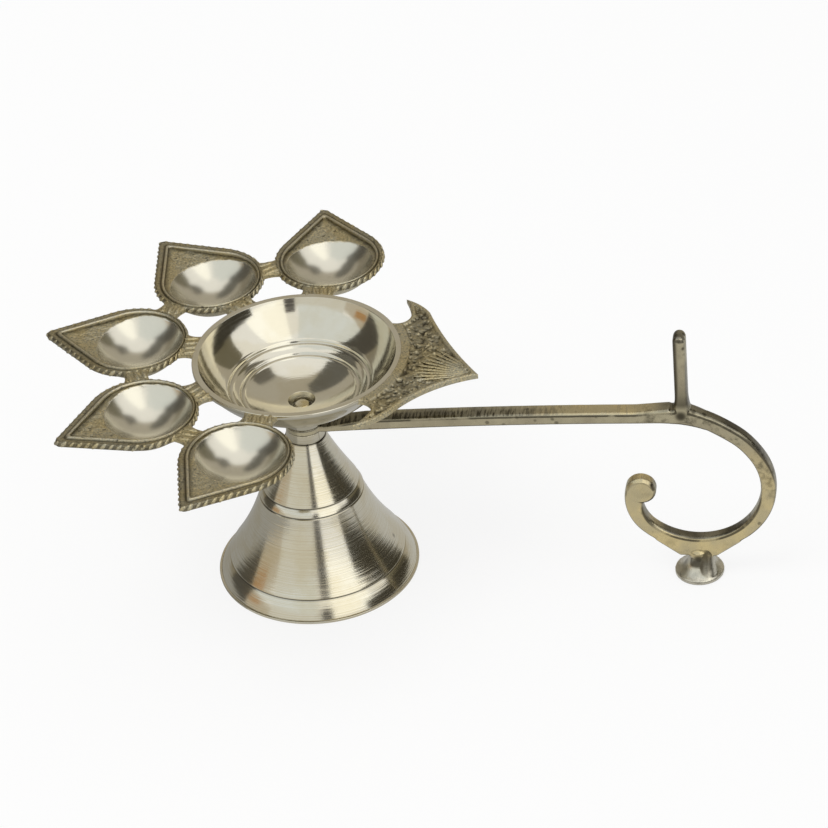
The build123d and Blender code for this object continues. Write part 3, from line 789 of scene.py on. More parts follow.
def handle_brass(groups, finish):
    """Handle: cast and filed; its front painted yellow as lit and the rest grey as in shade, with painted
    shadow and tarnish on the rod's top, painted shade in the hollows and underneath, and stains on the loop.
    """
    material, tree, shader = new_material("filed brass")
    cast = place_group(tree, groups["cast"], {"Grain": 700.0})
    shade_and_tarnish = place_group(tree, groups["shade_and_tarnish"], {"Reach": 3 * MM, "Most": 0.95})
    coordinates = add(tree, "ShaderNodeTexCoord").outputs
    place = coordinates["Object"]
    x, y, z = add(tree, "ShaderNodeSeparateXYZ", {0: place}).outputs
    facing_x, facing_y, facing_z = add(tree, "ShaderNodeSeparateXYZ", {0: coordinates["Normal"]}).outputs
    squeezed = add(tree, "ShaderNodeMapping", {0: place, "Scale": (1.0, 0.15, 0.15)}).outputs[0]
    marks = grain_noise(tree, squeezed, 1500.0, 3.0)
    cloud = grain_noise(tree, place, 120.0, 4.0)
    blots = grain_noise(tree, place, 240.0, 6.0, 0.65)
    step = partial(ramp, tree)
    times, most = partial(reckon, tree, "MULTIPLY"), partial(reckon, tree, "MAXIMUM")
    # Faces turned to the front: painted brighter, as lit
    front = step(reckon(tree, "ADD", facing_y, times(cloud, 0.35)), -0.35, -0.70)
    upward = step(facing_z, 0.35, 0.80)

    # Bright: the front, painted brighter as lit, the rubbed top near the post and the foot
    rubbed = times(step(x, 62 * MM, 90 * MM), step(x, 117 * MM, 110 * MM), upward,
                   step(marks, 0.35, 0.5, 0.5, 0.9))
    lit_front_and_rubbed = most(times(front, step(z, 61 * MM, 34 * MM, 0.3, 1.0)), rubbed)
    side_shade_tint = mix_colour(tree, cast["Patch"], finish.shaded_grey, finish.cast)
    bright = mix_colour(tree, times(cast["Patch"], 0.5), finish.gold_sheen_and_wear, finish.cast)
    tint = mix_colour(tree, lit_front_and_rubbed, side_shade_tint, bright)
    tint = mix_colour(tree, step(z, 9 * MM, 6 * MM, 0.0, 0.9), tint, finish.polished)

    # Dark: painted shadow with tarnish on the rod's top under the dish, darker clouds on upward faces from
    # the post on, painted shade on undersides, on the post's left side, towards its foot and in a line along
    # the front's upper edge, and stains on the loop
    # Rod's top near the dish: painted shadow of the dish, with tarnish
    rod_shadow_and_tarnish = times(step(x, 98 * MM, 60 * MM), step(y, 1.4 * MM, -0.4 * MM, 0.45, 1.0),
                     step(marks, 0.38, 0.60, 1.0, 0.45))
    other_dark = times(step(cloud, 0.40, 0.62, 0.45, 0.80), step(x, 110 * MM, 118 * MM, 0.2, 1.0),
                       step(z, 6 * MM, 14 * MM, 0.15, 1.0))
    top_dark = times(upward, most(rod_shadow_and_tarnish, other_dark))
    # Faces turned down: painted shade
    underside_shade = step(facing_z, -0.15, -0.5, 0.0, 0.93)
    stain = times(step(blots, 0.44, 0.70), step(z, 26 * MM, 50 * MM, 0.25, 0.95),
                  step(x, 104 * MM, 116 * MM, 0.15, 1.0), step(z, 68 * MM, 64 * MM, 0.25, 1.0))
    # Post: painted shade on its left side and towards its foot
    post_shade = most(step(facing_x, 0.0, -0.5, 0.0, 0.85), step(z, 79 * MM, 67 * MM, 0.0, 0.8))
    post_shade = times(post_shade, step(z, 66 * MM, 69 * MM))
    # Painted shade line along the rounded edge between the top and the front
    edge_shade_line = times(step(facing_z, 0.03, 0.15), step(facing_z, 0.60, 0.45), step(facing_y, -0.5, -0.75),
                 step(cloud, 0.40, 0.52, 0.3, 0.9))
    dark = most(top_dark, underside_shade, shade_and_tarnish["Shade and tarnish"], stain, post_shade, edge_shade_line)
    for share in (dark, times(cast["Pit"], 0.6)):
        tint = mix_colour(tree, share, tint, finish.tarnish_and_shade)
    tint = mix_colour(tree, times(marked(tree, "wear"), 0.45), tint, finish.polished)
    height = reckon(tree, "ADD", times(marks, 0.5), cast["Height"])
    dress(tree, shader, tint, step(marks, 0.3, 0.7, 0.24, 0.40), bump(tree, height, 0.08 * MM))
    return material


def screw_brass(groups, finish):
    """Screw: machined, a little yellower."""
    material, tree, shader = new_material("machined brass")
    cast = place_group(tree, groups["cast"])
    # Painted shade with tarnish in the slot and the thread
    shade_and_tarnish = place_group(tree, groups["shade_and_tarnish"], {"Reach": 0.8 * MM, "Most": 0.9})
    tint = mix_colour(tree, cast["Patch"], finish.warm, finish.polished)
    tint = mix_colour(tree, shade_and_tarnish["Shade and tarnish"], tint, finish.tarnish_and_shade)
    dress(tree, shader, tint, ramp(tree, cast["Height"], 0.3, 0.7, 0.2, 0.3))
    return material


SHARED = {}


def prepare(context):
    """Materials and trees that the pieces share, made once."""
    if SHARED:
        return SHARED
    groups = {"lines": turning_lines(), "cast": cast_skin(), "shade_and_tarnish": hollow_shade_and_tarnish()}
    brasses = {"turned": turned_brass, "dish": dish_brass, "leaf": leaf_brass, "handle": handle_brass,
               "screw": screw_brass}
    for name, brass in brasses.items():
        SHARED[name] = brass(groups, context.scene.lamp_finish)
    SHARED.update({"rope": rope_tree(), "ribs": rib_tree(), "fan": fan_tree()})
    return SHARED


# Bell and screw

# Small pit in the bell's skirt: its place in millimetres and its radius
BELL_PIT = (25.8, -0.2, 11.8)
PIT_RADIUS = 0.55 * MM
# Half width of the painted shade along each groove
GROOVE_SHADE = 0.22 * MM


def bell_profile(s):
    """Closed half profile of the bell, from the land round the outside and back down the hollow."""
    base, wide, deep = s.base_radius, s.groove_width / 2, s.groove_depth
    neck_end = s.height - s.collar
    seat = s.height - s.web
    lip, lip_z = s.lip_radius, s.lip_height
    waist, waist_z = s.waist_radius, s.waist_height
    band, band_z = s.band_radius, s.band_height
    points = [(base - s.land, 0), (base, 0), (base, s.edge), (base - s.step, s.edge)]
    points += bowed((base - s.step, s.edge + 0.15 * MM), (lip, lip_z - wide), -s.lip_crown, 16)
    points += [(lip - deep, lip_z)]
    points += bowed((lip, lip_z + wide), (waist, waist_z - wide), s.shoulder_hollow, 48)
    points += [(waist - deep, waist_z), (waist, waist_z + wide)]
    points += [(band, band_z - wide), (band - deep, band_z)]
    points += bowed((band, band_z + wide), (s.collar_radius, neck_end), s.neck_hollow, 40)
    points += [(s.collar_radius - 0.25 * MM, neck_end + 0.2 * MM), (s.top_radius, s.height)]
    points += [(s.hole_radius, s.height), (s.hole_radius, seat), (s.seat_radius, seat)]
    points += bowed((waist - s.wall, waist_z), (lip - s.wall, lip_z), -s.shoulder_hollow, 24)
    return softened(points, 0.22 * MM)


class LAMP_OT_pedestal(bpy.types.Operator):
    """Build the turned bell."""

    bl_idname = "lamp.pedestal"
    bl_label = "Pedestal"

    def execute(self, context):
        shared = prepare(context)
        s = context.scene.lamp_pedestal
        verts, faces, spin = lathe(bell_profile(s), TURNED_STEPS)
        # Painted shade along the grooves, and a dark spot at the small pit
        grooves = (s.lip_height, s.waist_height, s.band_height, s.height - s.collar)
        shade_and_tarnish = [max(np.exp(-((z - groove) / GROOVE_SHADE) ** 2) for groove in grooves) for _, _, z in verts]
        gaps = np.linalg.norm(np.array(verts) - Vector(BELL_PIT) * MM, axis=1)
        shade_and_tarnish = np.maximum(shade_and_tarnish, 0.9 * np.exp(-(gaps / PIT_RADIUS) ** 2))
        mesh = new_mesh("pedestal_bell", verts, faces, {"spin": spin, "shade_and_tarnish": shade_and_tarnish})
        place_piece(mesh, shared["turned"], PEDESTAL_BODY, "turned_brass", "pedestal", sharp=radians(60))
        return {"FINISHED"}


def screw_mesh(s, top, bottom):
    """Slotted screw: a threaded end, a plain shank and a flat head."""
    segments, per_turn = 96, 16
    seat = bottom + s.head
    shares = np.arange(segments) / segments
    turns = FULL_TURN * shares
    rows = [[(0, 0, top)], circle(0.8 * (s.radius - s.thread_depth), top, turns)]
    steps = int(s.thread / s.pitch * per_turn)
    for step in range(steps + 1):
        height = top - s.thread * step / steps
        bevel = max(0.0, s.point - (top - height))
        row = []
        for share, turn in zip(shares, turns):
            phase = (height / s.pitch - share) % 1.0
            radius = s.radius - max(s.thread_depth * abs(2 * phase - 1) ** 1.3, bevel)
            row.append((radius * cos(turn), radius * sin(turn), height))
        rows.append(row)
    for radius, height in ((s.radius, top - s.thread - 0.3 * MM), (s.radius, seat),
                           (s.head_radius - 0.2 * MM, seat), (s.head_radius, seat - 0.2 * MM),
                           (s.head_radius, bottom + 0.4 * MM), (s.head_radius - 0.4 * MM, bottom)):
        rows.append(circle(radius, height, turns))
    rows.append([(0, 0, bottom)])
    return new_mesh("clamp_screw_slotted", *skin(rows))


def cut_with_box(mesh, low, high):
    """Mesh with a box taken out of it."""
    corners = [(x, y, z) for z in (low[2], high[2]) for y in (low[1], high[1]) for x in (low[0], high[0])]
    sides = [(0, 2, 3, 1), (4, 5, 7, 6), (0, 1, 5, 4), (2, 6, 7, 3), (0, 4, 6, 2), (1, 3, 7, 5)]
    cutter = bpy.data.objects.new("slot", new_mesh("slot", corners, sides))
    bpy.context.scene.collection.objects.link(cutter)
    settings = {"operation": "DIFFERENCE", "object": cutter, "solver": "EXACT"}
    result = plain_result(mesh, modifiers=[("BOOLEAN", settings)])
    bpy.data.meshes.remove(cutter.data)
    return result


class LAMP_OT_clamp_screw(bpy.types.Operator):
    """Build the slotted screw that clamps the lamp together."""

    bl_idname = "lamp.clamp_screw"
    bl_label = "Clamp screw"

    def execute(self, context):
        shared = prepare(context)
        s = context.scene.lamp_screw
        mesh = screw_mesh(s, SCREW_TOP.z, SCREW_LOW.z)
        half, reach = s.slot_width / 2, 2 * s.head_radius
        low = SCREW_LOW.z
        mesh = cut_with_box(mesh, (-reach, -half, low - MM), (reach, half, low + s.slot_depth))
        mesh.name = "clamp_screw_slotted"
        place_piece(mesh, shared["screw"], PEDESTAL_BODY, "screw_brass", "clamp_screw")
        return {"FINISHED"}


# Dish

# Painted shade in the recess and in the turned lines, and painted shadow underneath
RECESS_SHADE, UNDER_SHADOW, LINE_SHADE = 0.85, 0.38, 0.35


def turned_line(profile, radius, s):
    """Profile of (radius, height) with one fine line cut into its upper face."""
    result = []
    for r, z in profile:
        off = (r - radius) / s.line_width
        lips = 0.35 * np.exp(-((abs(off) - 1.8) ** 2) * 1.6)
        cut = s.line_depth * (np.exp(-off * off) - lips)
        result.append((r + 0.5 * cut, z - 0.85 * cut))
    return result


def floor_line(s, arc, radius_from, count):
    """Floor of the dish as an arc, from a radius to where the wall begins."""
    turns = np.linspace(asin(radius_from / arc), asin(s.floor_radius / s.floor_arc), count)
    return [(arc * sin(a), s.floor_arc - arc * cos(a)) for a in turns]


def profile_inside(s):
    """Floor and wall of the dish, with heights from the middle of its floor."""
    floor = floor_line(s, s.floor_arc, s.recess_radius, 90)
    turn = asin(s.floor_radius / s.floor_arc)
    return floor + tangent_arc(floor[-1], turn, (s.rim_radius - s.rim_width, s.depth), 90)[1:]


def dish_profile(s):
    """Closed half profile of the dish, with heights from the middle of its floor."""
    turn = asin(s.floor_radius / s.floor_arc)
    hub_height = DISH_TOP.z - s.depth - DISH_LOW.z
    rim_low = s.depth - s.rim_height
    inside = profile_inside(s)
    for line in (s.outer_line, s.inner_line):
        inside = turned_line(inside, line, s)
    outside = floor_line(s, s.floor_arc + s.wall, s.hub_radius, 24)
    outside += tangent_arc(outside[-1], turn, (s.rim_radius - s.rim_step, rim_low), 36)[1:]
    rim = [(s.rim_radius - 0.1 * MM, s.depth), (s.rim_radius, s.depth - 0.4 * MM), (s.rim_radius, rim_low)]
    hub = [(s.hub_radius, -hub_height), (s.hole_radius, -hub_height), (s.hole_radius, -s.recess_depth),
           (s.recess_radius - s.recess_taper, -s.recess_depth)]
    points = inside + rim + outside[::-1] + hub
    return softened(points, 0.3 * MM, radians(24))


class LAMP_OT_oil_dish(bpy.types.Operator):
    """Build the round oil dish with its hub."""

    bl_idname = "lamp.oil_dish"
    bl_label = "Oil dish"

    def execute(self, context):
        shared = prepare(context)
        s = context.scene.lamp_dish
        floor_z = DISH_TOP.z - s.depth
        profile = [(r, z + floor_z) for r, z in dish_profile(s)]
        verts, faces, spin = lathe(profile, TURNED_STEPS)
        inside = np.array([(r, z + floor_z) for r, z in profile_inside(s)])
        # Painted shade in the recess and turned lines, painted shadow under the dish
        rings, shade_and_tarnish = (s.outer_line, s.inner_line), []
        for x, y, z in verts:
            radius = hypot(x, y)
            under = np.interp(radius, inside[:, 0], inside[:, 1]) - 0.45 * MM > z
            lines = max(np.exp(-((radius - ring) / (0.5 * s.line_width)) ** 2) for ring in rings)
            recess = radius < s.recess_radius - 0.1 * MM
            shade_and_tarnish.append(RECESS_SHADE if recess else UNDER_SHADOW if under else LINE_SHADE * lines)
        mesh = new_mesh("oil_dish_turned", verts, faces, {"spin": spin, "shade_and_tarnish": shade_and_tarnish})
        place_piece(mesh, shared["dish"], PLATE_BODY, "cast_brass", "oil_dish", sharp=radians(60))
        return {"FINISHED"}


# Leaf cups

BACK_POINTS, SIDE_POINTS, TIP_POINTS = 112, 36, 13
PLATE_TURN = radians(-6.65)
CUP_LEANS = (0.0, radians(2.8), radians(14.4))
HOLLOW_TIP = 0.9 * MM
HOLLOW_ROWS, SHELL_ROWS = 72, 33
# Painted shade in the corner of the cast hollow next to the border
CORNER_SHADE = 0.75
ROPE_INSET, ROPE_DROP, ROPE_TILT = 0.42 * MM, 0.95 * MM, 0.35
BRIDGE_WAIST = 0.7 * MM
RIB_SINK = 0.55 * MM


def leaf_ring(s, radius, tip_round, back=0.0):
    """Closed outline of a leaf, set back on X: a round back and two sides to a rounded tip on +X."""
    half = asin(s.radius / s.tip)
    tip_round = min(tip_round, 0.9 * radius)
    tip_centre = (radius - tip_round) / sin(half)
    turns = np.linspace(pi / 2 - half, 3 * pi / 2 + half, BACK_POINTS)
    points = [(radius * cos(t), radius * sin(t)) for t in turns]
    tip = np.linspace(half - pi / 2, pi / 2 - half, TIP_POINTS)
    tip_points = [(tip_centre + tip_round * cos(t), tip_round * sin(t)) for t in tip]
    points += bowed(points[-1], tip_points[0], 0.0, SIDE_POINTS)[1:-1] + tip_points
    points += bowed(tip_points[-1], points[0], 0.0, SIDE_POINTS)[1:-1]
    return [(x - back, y) for x, y in points]


# Cast spout of a cup: where it is deepest, where it starts and over what length, in radii of the bowl; then
# the share of its depth lost at its sides, the size of its grain and the width of the polished edge
SPOUT_MOUTH, SPOUT_START, SPOUT_RUN = 0.75, 0.3, 0.8
SPOUT_SIDES = 0.6
GRAIN_SIZE = 1.6 * MM
POLISH_EDGE = 0.12 * MM


def hollow_height(s, x, y):
    """Height of the hollow of a cup, and how far the place belongs to the turned bowl."""
    ball = (s.bowl_radius ** 2 + s.bowl_depth ** 2) / (2 * s.bowl_depth)
    off = ball ** 2 - (x + s.bowl_back) ** 2 - y * y
    bowl = ball - s.bowl_depth - sqrt(off) if off > 0 else 0.0
    tip = (s.radius - s.border) * s.tip / s.radius - s.hollow_back
    share = np.clip((tip - x) / (tip - SPOUT_MOUTH * s.bowl_radius), 0, 1)
    across = min(abs(y) / max((tip - x) * 0.75, MM), 1.0)
    spout = -s.spout_step - (s.spout_depth - s.spout_step) * share * (1 - SPOUT_SIDES * across ** 2)
    spout *= np.clip((x / s.bowl_radius + SPOUT_START) / SPOUT_RUN, 0.35, 1)
    spout += s.spout_grain * noise.fractal(Vector((x, y, 0)) / GRAIN_SIZE, 1.0, 2.0, 3)
    return min(bowl, spout), float(np.clip((spout - bowl) / POLISH_EDGE, 0, 1))


class BowlShape:
    """Height of the outside of a cup: a ball drawn out to a point on +X."""

    def __init__(self, s, grow):
        inner = s.radius - s.border
        ball = (inner ** 2 + s.depth ** 2) / (2 * s.depth)
        self.rise = ball - s.depth
        tip = inner * s.tip / s.radius
        self.ball = ball + grow
        scale = self.ball / ball
        self.apex = np.array((tip * scale, 0.0, self.rise * (1 - scale)))
        reach = np.array((0, 0, self.rise)) - self.apex
        self.axis = reach / np.linalg.norm(reach)
        self.cosine = sqrt(1 - (self.ball / np.linalg.norm(reach)) ** 2)
        self.touch = np.linalg.norm(reach) * self.cosine ** 2

    def ball_height(self, x, y):
        """Height of the ball."""
        return self.rise - sqrt(max(self.ball ** 2 - x * x - y * y, 0.0))

    def spout_height(self, x, y):
        """Height of the cone from the ball to the point."""
        dx, dy = x - self.apex[0], y
        a = self.axis[2] ** 2 - self.cosine ** 2
        b = 2 * dx * self.axis[0] * self.axis[2]
        c = (dx * self.axis[0]) ** 2 - self.cosine ** 2 * (dx * dx + dy * dy)
        root = sqrt(max(b * b - 4 * a * c, 0.0))
        return self.apex[2] + min((-b - root) / (2 * a), (-b + root) / (2 * a))

    def height(self, x, y):
        """Height of the ball or, beyond where they touch, of the cone."""
        spout = self.spout_height(x, y)
        along = (np.array((x, y, spout)) - self.apex) @ self.axis
        return self.ball_height(x, y) if x <= 0 or along > self.touch else spout


# Bead, groove and band round a bowl: millimetres out, share of the bead's height, polish and painted shade
CUP_MOULDING = (
    (0.12, 0.55, 0.4, 0.0), (0.35, 0.9, 0.35, 0.0), (0.60, 0.55, 0.1, 0.1), (0.75, -0.4, 0.0, 0.6),
    (0.95, -1.1, 0.0, 0.95), (1.15, -0.9, 0.0, 0.7), (1.5, -0.4, 0.0, 0.3), (2.0, -0.7, 0.0, 0.4),
)


def cup_mesh(s):
    """One cup: its rim plane is z = 0 and it points along +X."""
    inner = s.radius - s.border
    shell, shell_back = BowlShape(s, s.wall), 0.7 * s.hollow_back
    rows, polish, spin, shade_and_tarnish = [], [], [], []

    def put(points, heights, shine, dark=0.0):
        """Add a row of points with its polish and its painted shade."""
        rows.append([(x, y, z) for (x, y), z in zip(points, heights)])
        polish.extend(shine)
        spin.extend([hypot(x, y) for x, y in points])
        shade_and_tarnish.extend(np.broadcast_to(dark, len(points)))

    put([(-s.hollow_back, 0)], [hollow_height(s, -s.hollow_back, 0)[0]], [1.0])
    for share in np.append(np.linspace(0, 0.985, HOLLOW_ROWS)[1:], 0.995):
        ring = leaf_ring(s, inner * share, HOLLOW_TIP * share, s.hollow_back)
        heights = [hollow_height(s, x, y) for x, y in ring]
        corner = CORNER_SHADE * np.clip((share - 0.90) / 0.09, 0, 1)
        put(ring, [z for z, _ in heights], [shine for _, shine in heights],
            [corner * (1 - shine) for _, shine in heights])
    ring = leaf_ring(s, inner, HOLLOW_TIP, s.hollow_back)
    put(ring, [0.1 * s.bead] * len(ring), [0.3] * len(ring))
    for out, lift, shine, dark in CUP_MOULDING:
        back = s.hollow_back * (1 - out * MM / s.border)
        ring = leaf_ring(s, inner + out * MM, HOLLOW_TIP + 0.2 * out * MM, back)
        put(ring, [lift * s.bead] * len(ring), [shine] * len(ring), dark)
    half = s.border_thick / 2
    # Rounded outer side of the border, under painted shade between the rope strokes
    for turn in np.linspace(pi / 2, -pi / 2, 9):
        inset = 0.30 + (0.45 if turn > 0 else 0.1) * (1 - cos(turn))
        ring = leaf_ring(s, s.radius - inset * MM, s.tip_round)
        put(ring, [-half + (half - 0.15 * MM) * sin(turn)] * len(ring), [0.0] * len(ring), 0.7)
    below = -s.border_thick + 0.05 * MM
    for share in np.linspace(1, 0, SHELL_ROWS)[:-1]:
        ring = leaf_ring(s, (s.radius - 1.5 * MM) * share, HOLLOW_TIP * share, shell_back)
        put(ring, [min(below, shell.height(x + shell_back, y)) for x, y in ring], [0.0] * len(ring))
    put([(-shell_back, 0)], [shell.rise - shell.ball], [0.0])
    verts, faces = skin(rows)
    return new_mesh("cup", verts, faces, {"polish": polish, "spin": spin, "shade_and_tarnish": shade_and_tarnish})


def rope_line(s):
    """Line of the rope border, with the lean of its strokes."""
    ring = leaf_ring(s, s.radius - ROPE_INSET, s.tip_round)
    count = len(ring)
    places, lays, outs = [], [], []
    for index, (x, y) in enumerate(ring):
        before, after = ring[index - 1], ring[(index + 1) % count]
        along = Vector((after[0] - before[0], after[1] - before[1], 0)).normalized()
        outward = Vector((along.y, -along.x, 0))
        across = (outward * ROPE_TILT - Vector((0, 0, 1))).normalized()
        places.append((x, y, -ROPE_DROP))
        lays.append(along * cos(s.stroke_lean) - across * sin(s.stroke_lean))
        outs.append((outward + Vector((0, 0, ROPE_TILT))).normalized())
    edges = [(i, (i + 1) % count) for i in range(count)]
    return set_points("rope", places, {"lay": lays, "out": outs}, edges)


def bar_mesh(start, end, width, thick, waist):
    """Bridge along +X, drawn in a little at its sides, its top a little under the rim plane."""
    half = width / 2
    near = bowed((start, -half), (end, -half), waist, 9)
    far = bowed((end, half), (start, half), waist, 9)
    outline = near + far
    # Levels from the top down: how far the sides are drawn in and the height, in millimetres
    low = -thick / MM
    levels = ((0.5, -0.25), (0.15, -0.4), (0.0, -0.7), (0.0, low + 0.3), (0.3, low))
    rows = []
    for shrink, z in levels:
        rows.append([(x, y * (1 - shrink * MM / half), z * MM) for x, y in outline])
    rows.insert(0, [((start + end) / 2, 0, -0.25 * MM)])
    rows.append([((start + end) / 2, 0, -thick)])
    verts, faces = skin(rows)
    return new_mesh("bar", verts, faces)


def rib_row(shared, s, ribs, width, size, place, lay):
    """Row of ribs on a bridge."""
    points = set_points("ribs", [place], {"lay": [lay], "out": [(0, 0, 1)]})
    values = {"Ribs": ribs, "Pitch": width / ribs, "Length": size, "Width": s.rib_width,
              "Height": s.rib_height, "Material": shared["leaf"]}
    return plain_result(points, shared["ribs"], values)


def turned_to(mesh, *steps):
    """Mesh moved by a chain of turns about Z, in radians, and shifts along X or up."""
    matrix = Matrix.Identity(4)
    for kind, value in steps:
        if kind == "turn":
            matrix = matrix @ Matrix.Rotation(value, 4, "Z")
        elif kind == "out":
            matrix = matrix @ Matrix.Translation((value, 0, 0))
        else:
            matrix = matrix @ Matrix.Translation((0, 0, value))
    mesh.transform(matrix)
    return mesh


class LAMP_OT_leaf_cups(bpy.types.Operator):
    """Build the leaf cups with their rope borders and ribbed bridges."""

    bl_idname = "lamp.leaf_cups"
    bl_label = "Leaf cups"

    def execute(self, context):
        shared = prepare(context)
        s = context.scene.lamp_cups
        side = len(CUPS) // 2
        pitch = 2 * asin((s.radius + s.space / 2) / s.centre)
        chord = s.centre * cos(pitch / 2)
        rope_values = {"Pitch": s.stroke_pitch, "Length": s.stroke_length, "Width": s.stroke_width,
                       "Height": s.stroke_height, "Material": shared["leaf"]}
        back = s.centre - s.radius
        plain_cup = joined("cup", [cup_mesh(s), plain_result(rope_line(s), shared["rope"], rope_values)])
        for number, name in enumerate(CUPS):
            step = number - side
            lean = CUP_LEANS[abs(step)] * (1 if step > 0 else -1)
            facing = PLATE_TURN + pi - step * pitch
            cup = turned_to(plain_cup.copy(), ("turn", facing), ("out", s.centre), ("turn", lean))
            near, far = back - s.dish_gap - MM, back + 1.0 * MM
            bar = bar_mesh(near, far, s.dish_bridge, s.bridge_thick, BRIDGE_WAIST)
            ribs = rib_row(shared, s, s.ribs, s.dish_bridge - 1.5 * MM, s.dish_gap + 2.2 * MM,
                           ((near + far) / 2, 0, -RIB_SINK), (1, 0.25, 0))
            parts = [cup, turned_to(joined("bar", [bar, ribs]), ("turn", facing))]
            if step < side:
                reach = s.space / 2 + 1.4 * MM
                bar = bar_mesh(-reach, reach, s.cup_bridge, s.bridge_thick, BRIDGE_WAIST)
                ribs = rib_row(shared, s, s.ribs - 1, s.cup_bridge - 1.5 * MM, s.space + 2.0 * MM,
                               (0, 0, -RIB_SINK), (1, 0.3, 0))
                parts.append(turned_to(joined("bar", [bar, ribs]), ("turn", facing - pitch / 2),
                                       ("out", chord), ("turn", pi / 2)))
            mesh = turned_to(joined(name + "_cast", parts), ("up", DISH_TOP.z))
            place_piece(mesh, shared["leaf"], PLATE_BODY, "cast_brass", name)
        return {"FINISHED"}


# Fish tail

# Places of the tail's outline: millimetres out from the rim and degrees from the tail's line
TAIL_POINT = (26.3, -2.1)
TAIL_LEFT = ((14.0, 19.0), (12.9, 38.1), (12.2, 45.2))
TAIL_RIGHT = ((14.5, -13.2), (11.1, -34.0), (11.3, -42.3))
TAIL_FLUKE = (10.6, 51.9)
TAIL_BITE = ((9.0, 46.3), (7.4, 41.1), (2.4, 37.2))
# Share of the rim's radius at which the tail's root lies
ROOT_SHARE = 0.99
TAIL_SEED = 7
# Fan of rays: focus and lengths in millimetres, first and last ray in degrees
RAY_FOCUS = (60.5, -2.0)
RAY_FIRST, RAY_LAST = 146.0, 196.0
RAY_INNER, RAY_LENGTH = 4.5, 17.0


def tail_place(rim, place, side=1):
    """Place given as millimetres out from the rim and degrees from the tail's line."""
    out, degs = place
    turn = radians(side * degs)
    return ((rim + out * MM) * cos(turn), (rim + out * MM) * sin(turn))


def tail_edge(rim, root, edge_points, side):
    """Edge of one half of the tail, from its point round the fluke to the root on the rim."""
    point, edge, bend, hook = [tail_place(rim, place) for place in (TAIL_POINT,) + edge_points]
    fluke, bite, turn, deep = [tail_place(rim, place, side) for place in (TAIL_FLUKE,) + TAIL_BITE]
    foot = (rim * cos(root) * ROOT_SHARE, side * rim * sin(root) * ROOT_SHARE)
    points = through(point, edge, bend, 40) + through(bend, hook, fluke, 16)[1:]
    return points + through(fluke, bite, turn, 16)[1:] + through(turn, deep, foot, 20)[1:]


def outline_distance(points, outline):
    """Distance of each point from an open line."""
    starts, ends = np.array(outline[:-1]), np.array(outline[1:])
    runs = ends - starts
    squares = (runs ** 2).sum(1)
    result = np.full(len(points), 1.0)
    for start, run, square in zip(starts, runs, squares):
        share = np.clip(((points - start) @ run) / square, 0, 1)
        gap = np.linalg.norm(points - start - share[:, None] * run, axis=1)
        result = np.minimum(result, gap)
    return result


def tail_net(outline, grain, random):
    """Points and faces of a net over an outline, with an uneven grid inside."""
    low, high = np.min(outline, 0), np.max(outline, 0)
    counts = np.ceil((high - low) / grain).astype(int)
    lines = [np.linspace(a, b, n) for a, b, n in zip(low, high, counts)]
    grid = np.stack(np.meshgrid(*lines), -1).reshape(-1, 2)
    grid = grid + random.uniform(-0.2, 0.2, grid.shape) * grain
    grid = grid[outline_distance(grid, outline + outline[:1]) > 0.45 * grain]
    verts = [Vector(p) for p in outline] + [Vector(p) for p in grid]
    count = len(outline)
    edges = [(i, (i + 1) % count) for i in range(count)]
    flat, _, faces, _, _, _ = delaunay_2d_cdt(verts, edges, [list(range(count))], 1, 1e-9)
    return np.array([tuple(p) for p in flat]), faces


def punched(s, points, random):
    """Relief of the punched marks at each point."""
    relief = np.zeros(len(points))
    for centre in points[random.integers(0, len(points), s.marks)]:
        turn, sign = random.uniform(0, pi), random.choice((-1.0, -1.0, 0.9))
        away = points - centre
        along = (away @ (cos(turn), sin(turn))) / (s.mark_length * random.uniform(0.4, 1.0))
        across = (away @ (-sin(turn), cos(turn))) / (s.mark_width * random.uniform(0.7, 1.2))
        relief += sign * s.mark_depth * np.exp(-along ** 2 - across ** 2)
    return np.clip(relief, -1.6 * s.mark_depth, 1.1 * s.mark_depth)


def tail_sheet(s, rim):
    """Tail plate: its ground is punched between raised borders; its rim plane is z = 0."""
    left, right = tail_edge(rim, s.root, TAIL_LEFT, 1), tail_edge(rim, s.root, TAIL_RIGHT, -1)
    edge = left[::-1] + right[1:]
    root = ROOT_SHARE * rim
    outline = edge + [(root * cos(t), root * sin(t)) for t in np.linspace(-s.root, s.root, 60)[1:-1]]
    random = np.random.default_rng(TAIL_SEED)
    points, faces = tail_net(outline, s.grain, random)
    gap = outline_distance(points, edge)
    inner_gap = np.linalg.norm(points, axis=1) - rim - s.root_border
    inside = np.clip(np.minimum(gap - s.border * 0.75, inner_gap) / (0.4 * s.border), 0, 1)
    inside = inside ** 2 * (3 - 2 * inside)
    crown = np.clip(gap / (0.45 * s.border), 0, 1)
    relief = punched(s, points, random)
    height = inside * (relief - s.border_rise) - 0.25 * MM * (1 - crown) ** 2
    height = np.clip(height, -0.75 * s.thick, 0.0)
    # Darker in the low punched ground: tarnish, with painted shade
    shade_and_tarnish = inside * np.clip(0.36 - 0.6 * relief / s.mark_depth, 0, 1)
    return points, faces, height, shade_and_tarnish


def slab(name, points, faces, height, shade_and_tarnish, thick):
    """Closed plate from a flat net of faces with a height for each point."""
    count = len(points)
    verts = [(x, y, z) for (x, y), z in zip(points, height)] + [(x, y, -thick) for x, y in points]
    used = {}
    for face in faces:
        for a, b in zip(face, face[1:] + face[:1]):
            used[(min(a, b), max(a, b))] = used.get((min(a, b), max(a, b)), 0) + 1
    walls = [(a, b, b + count, a + count) for (a, b), times in used.items() if times == 1]
    under = [tuple(i + count for i in reversed(face)) for face in faces]
    shade_and_tarnish = list(shade_and_tarnish) + [0.0] * count
    return new_mesh(name, verts, [tuple(face) for face in faces] + under + walls, {"shade_and_tarnish": shade_and_tarnish})


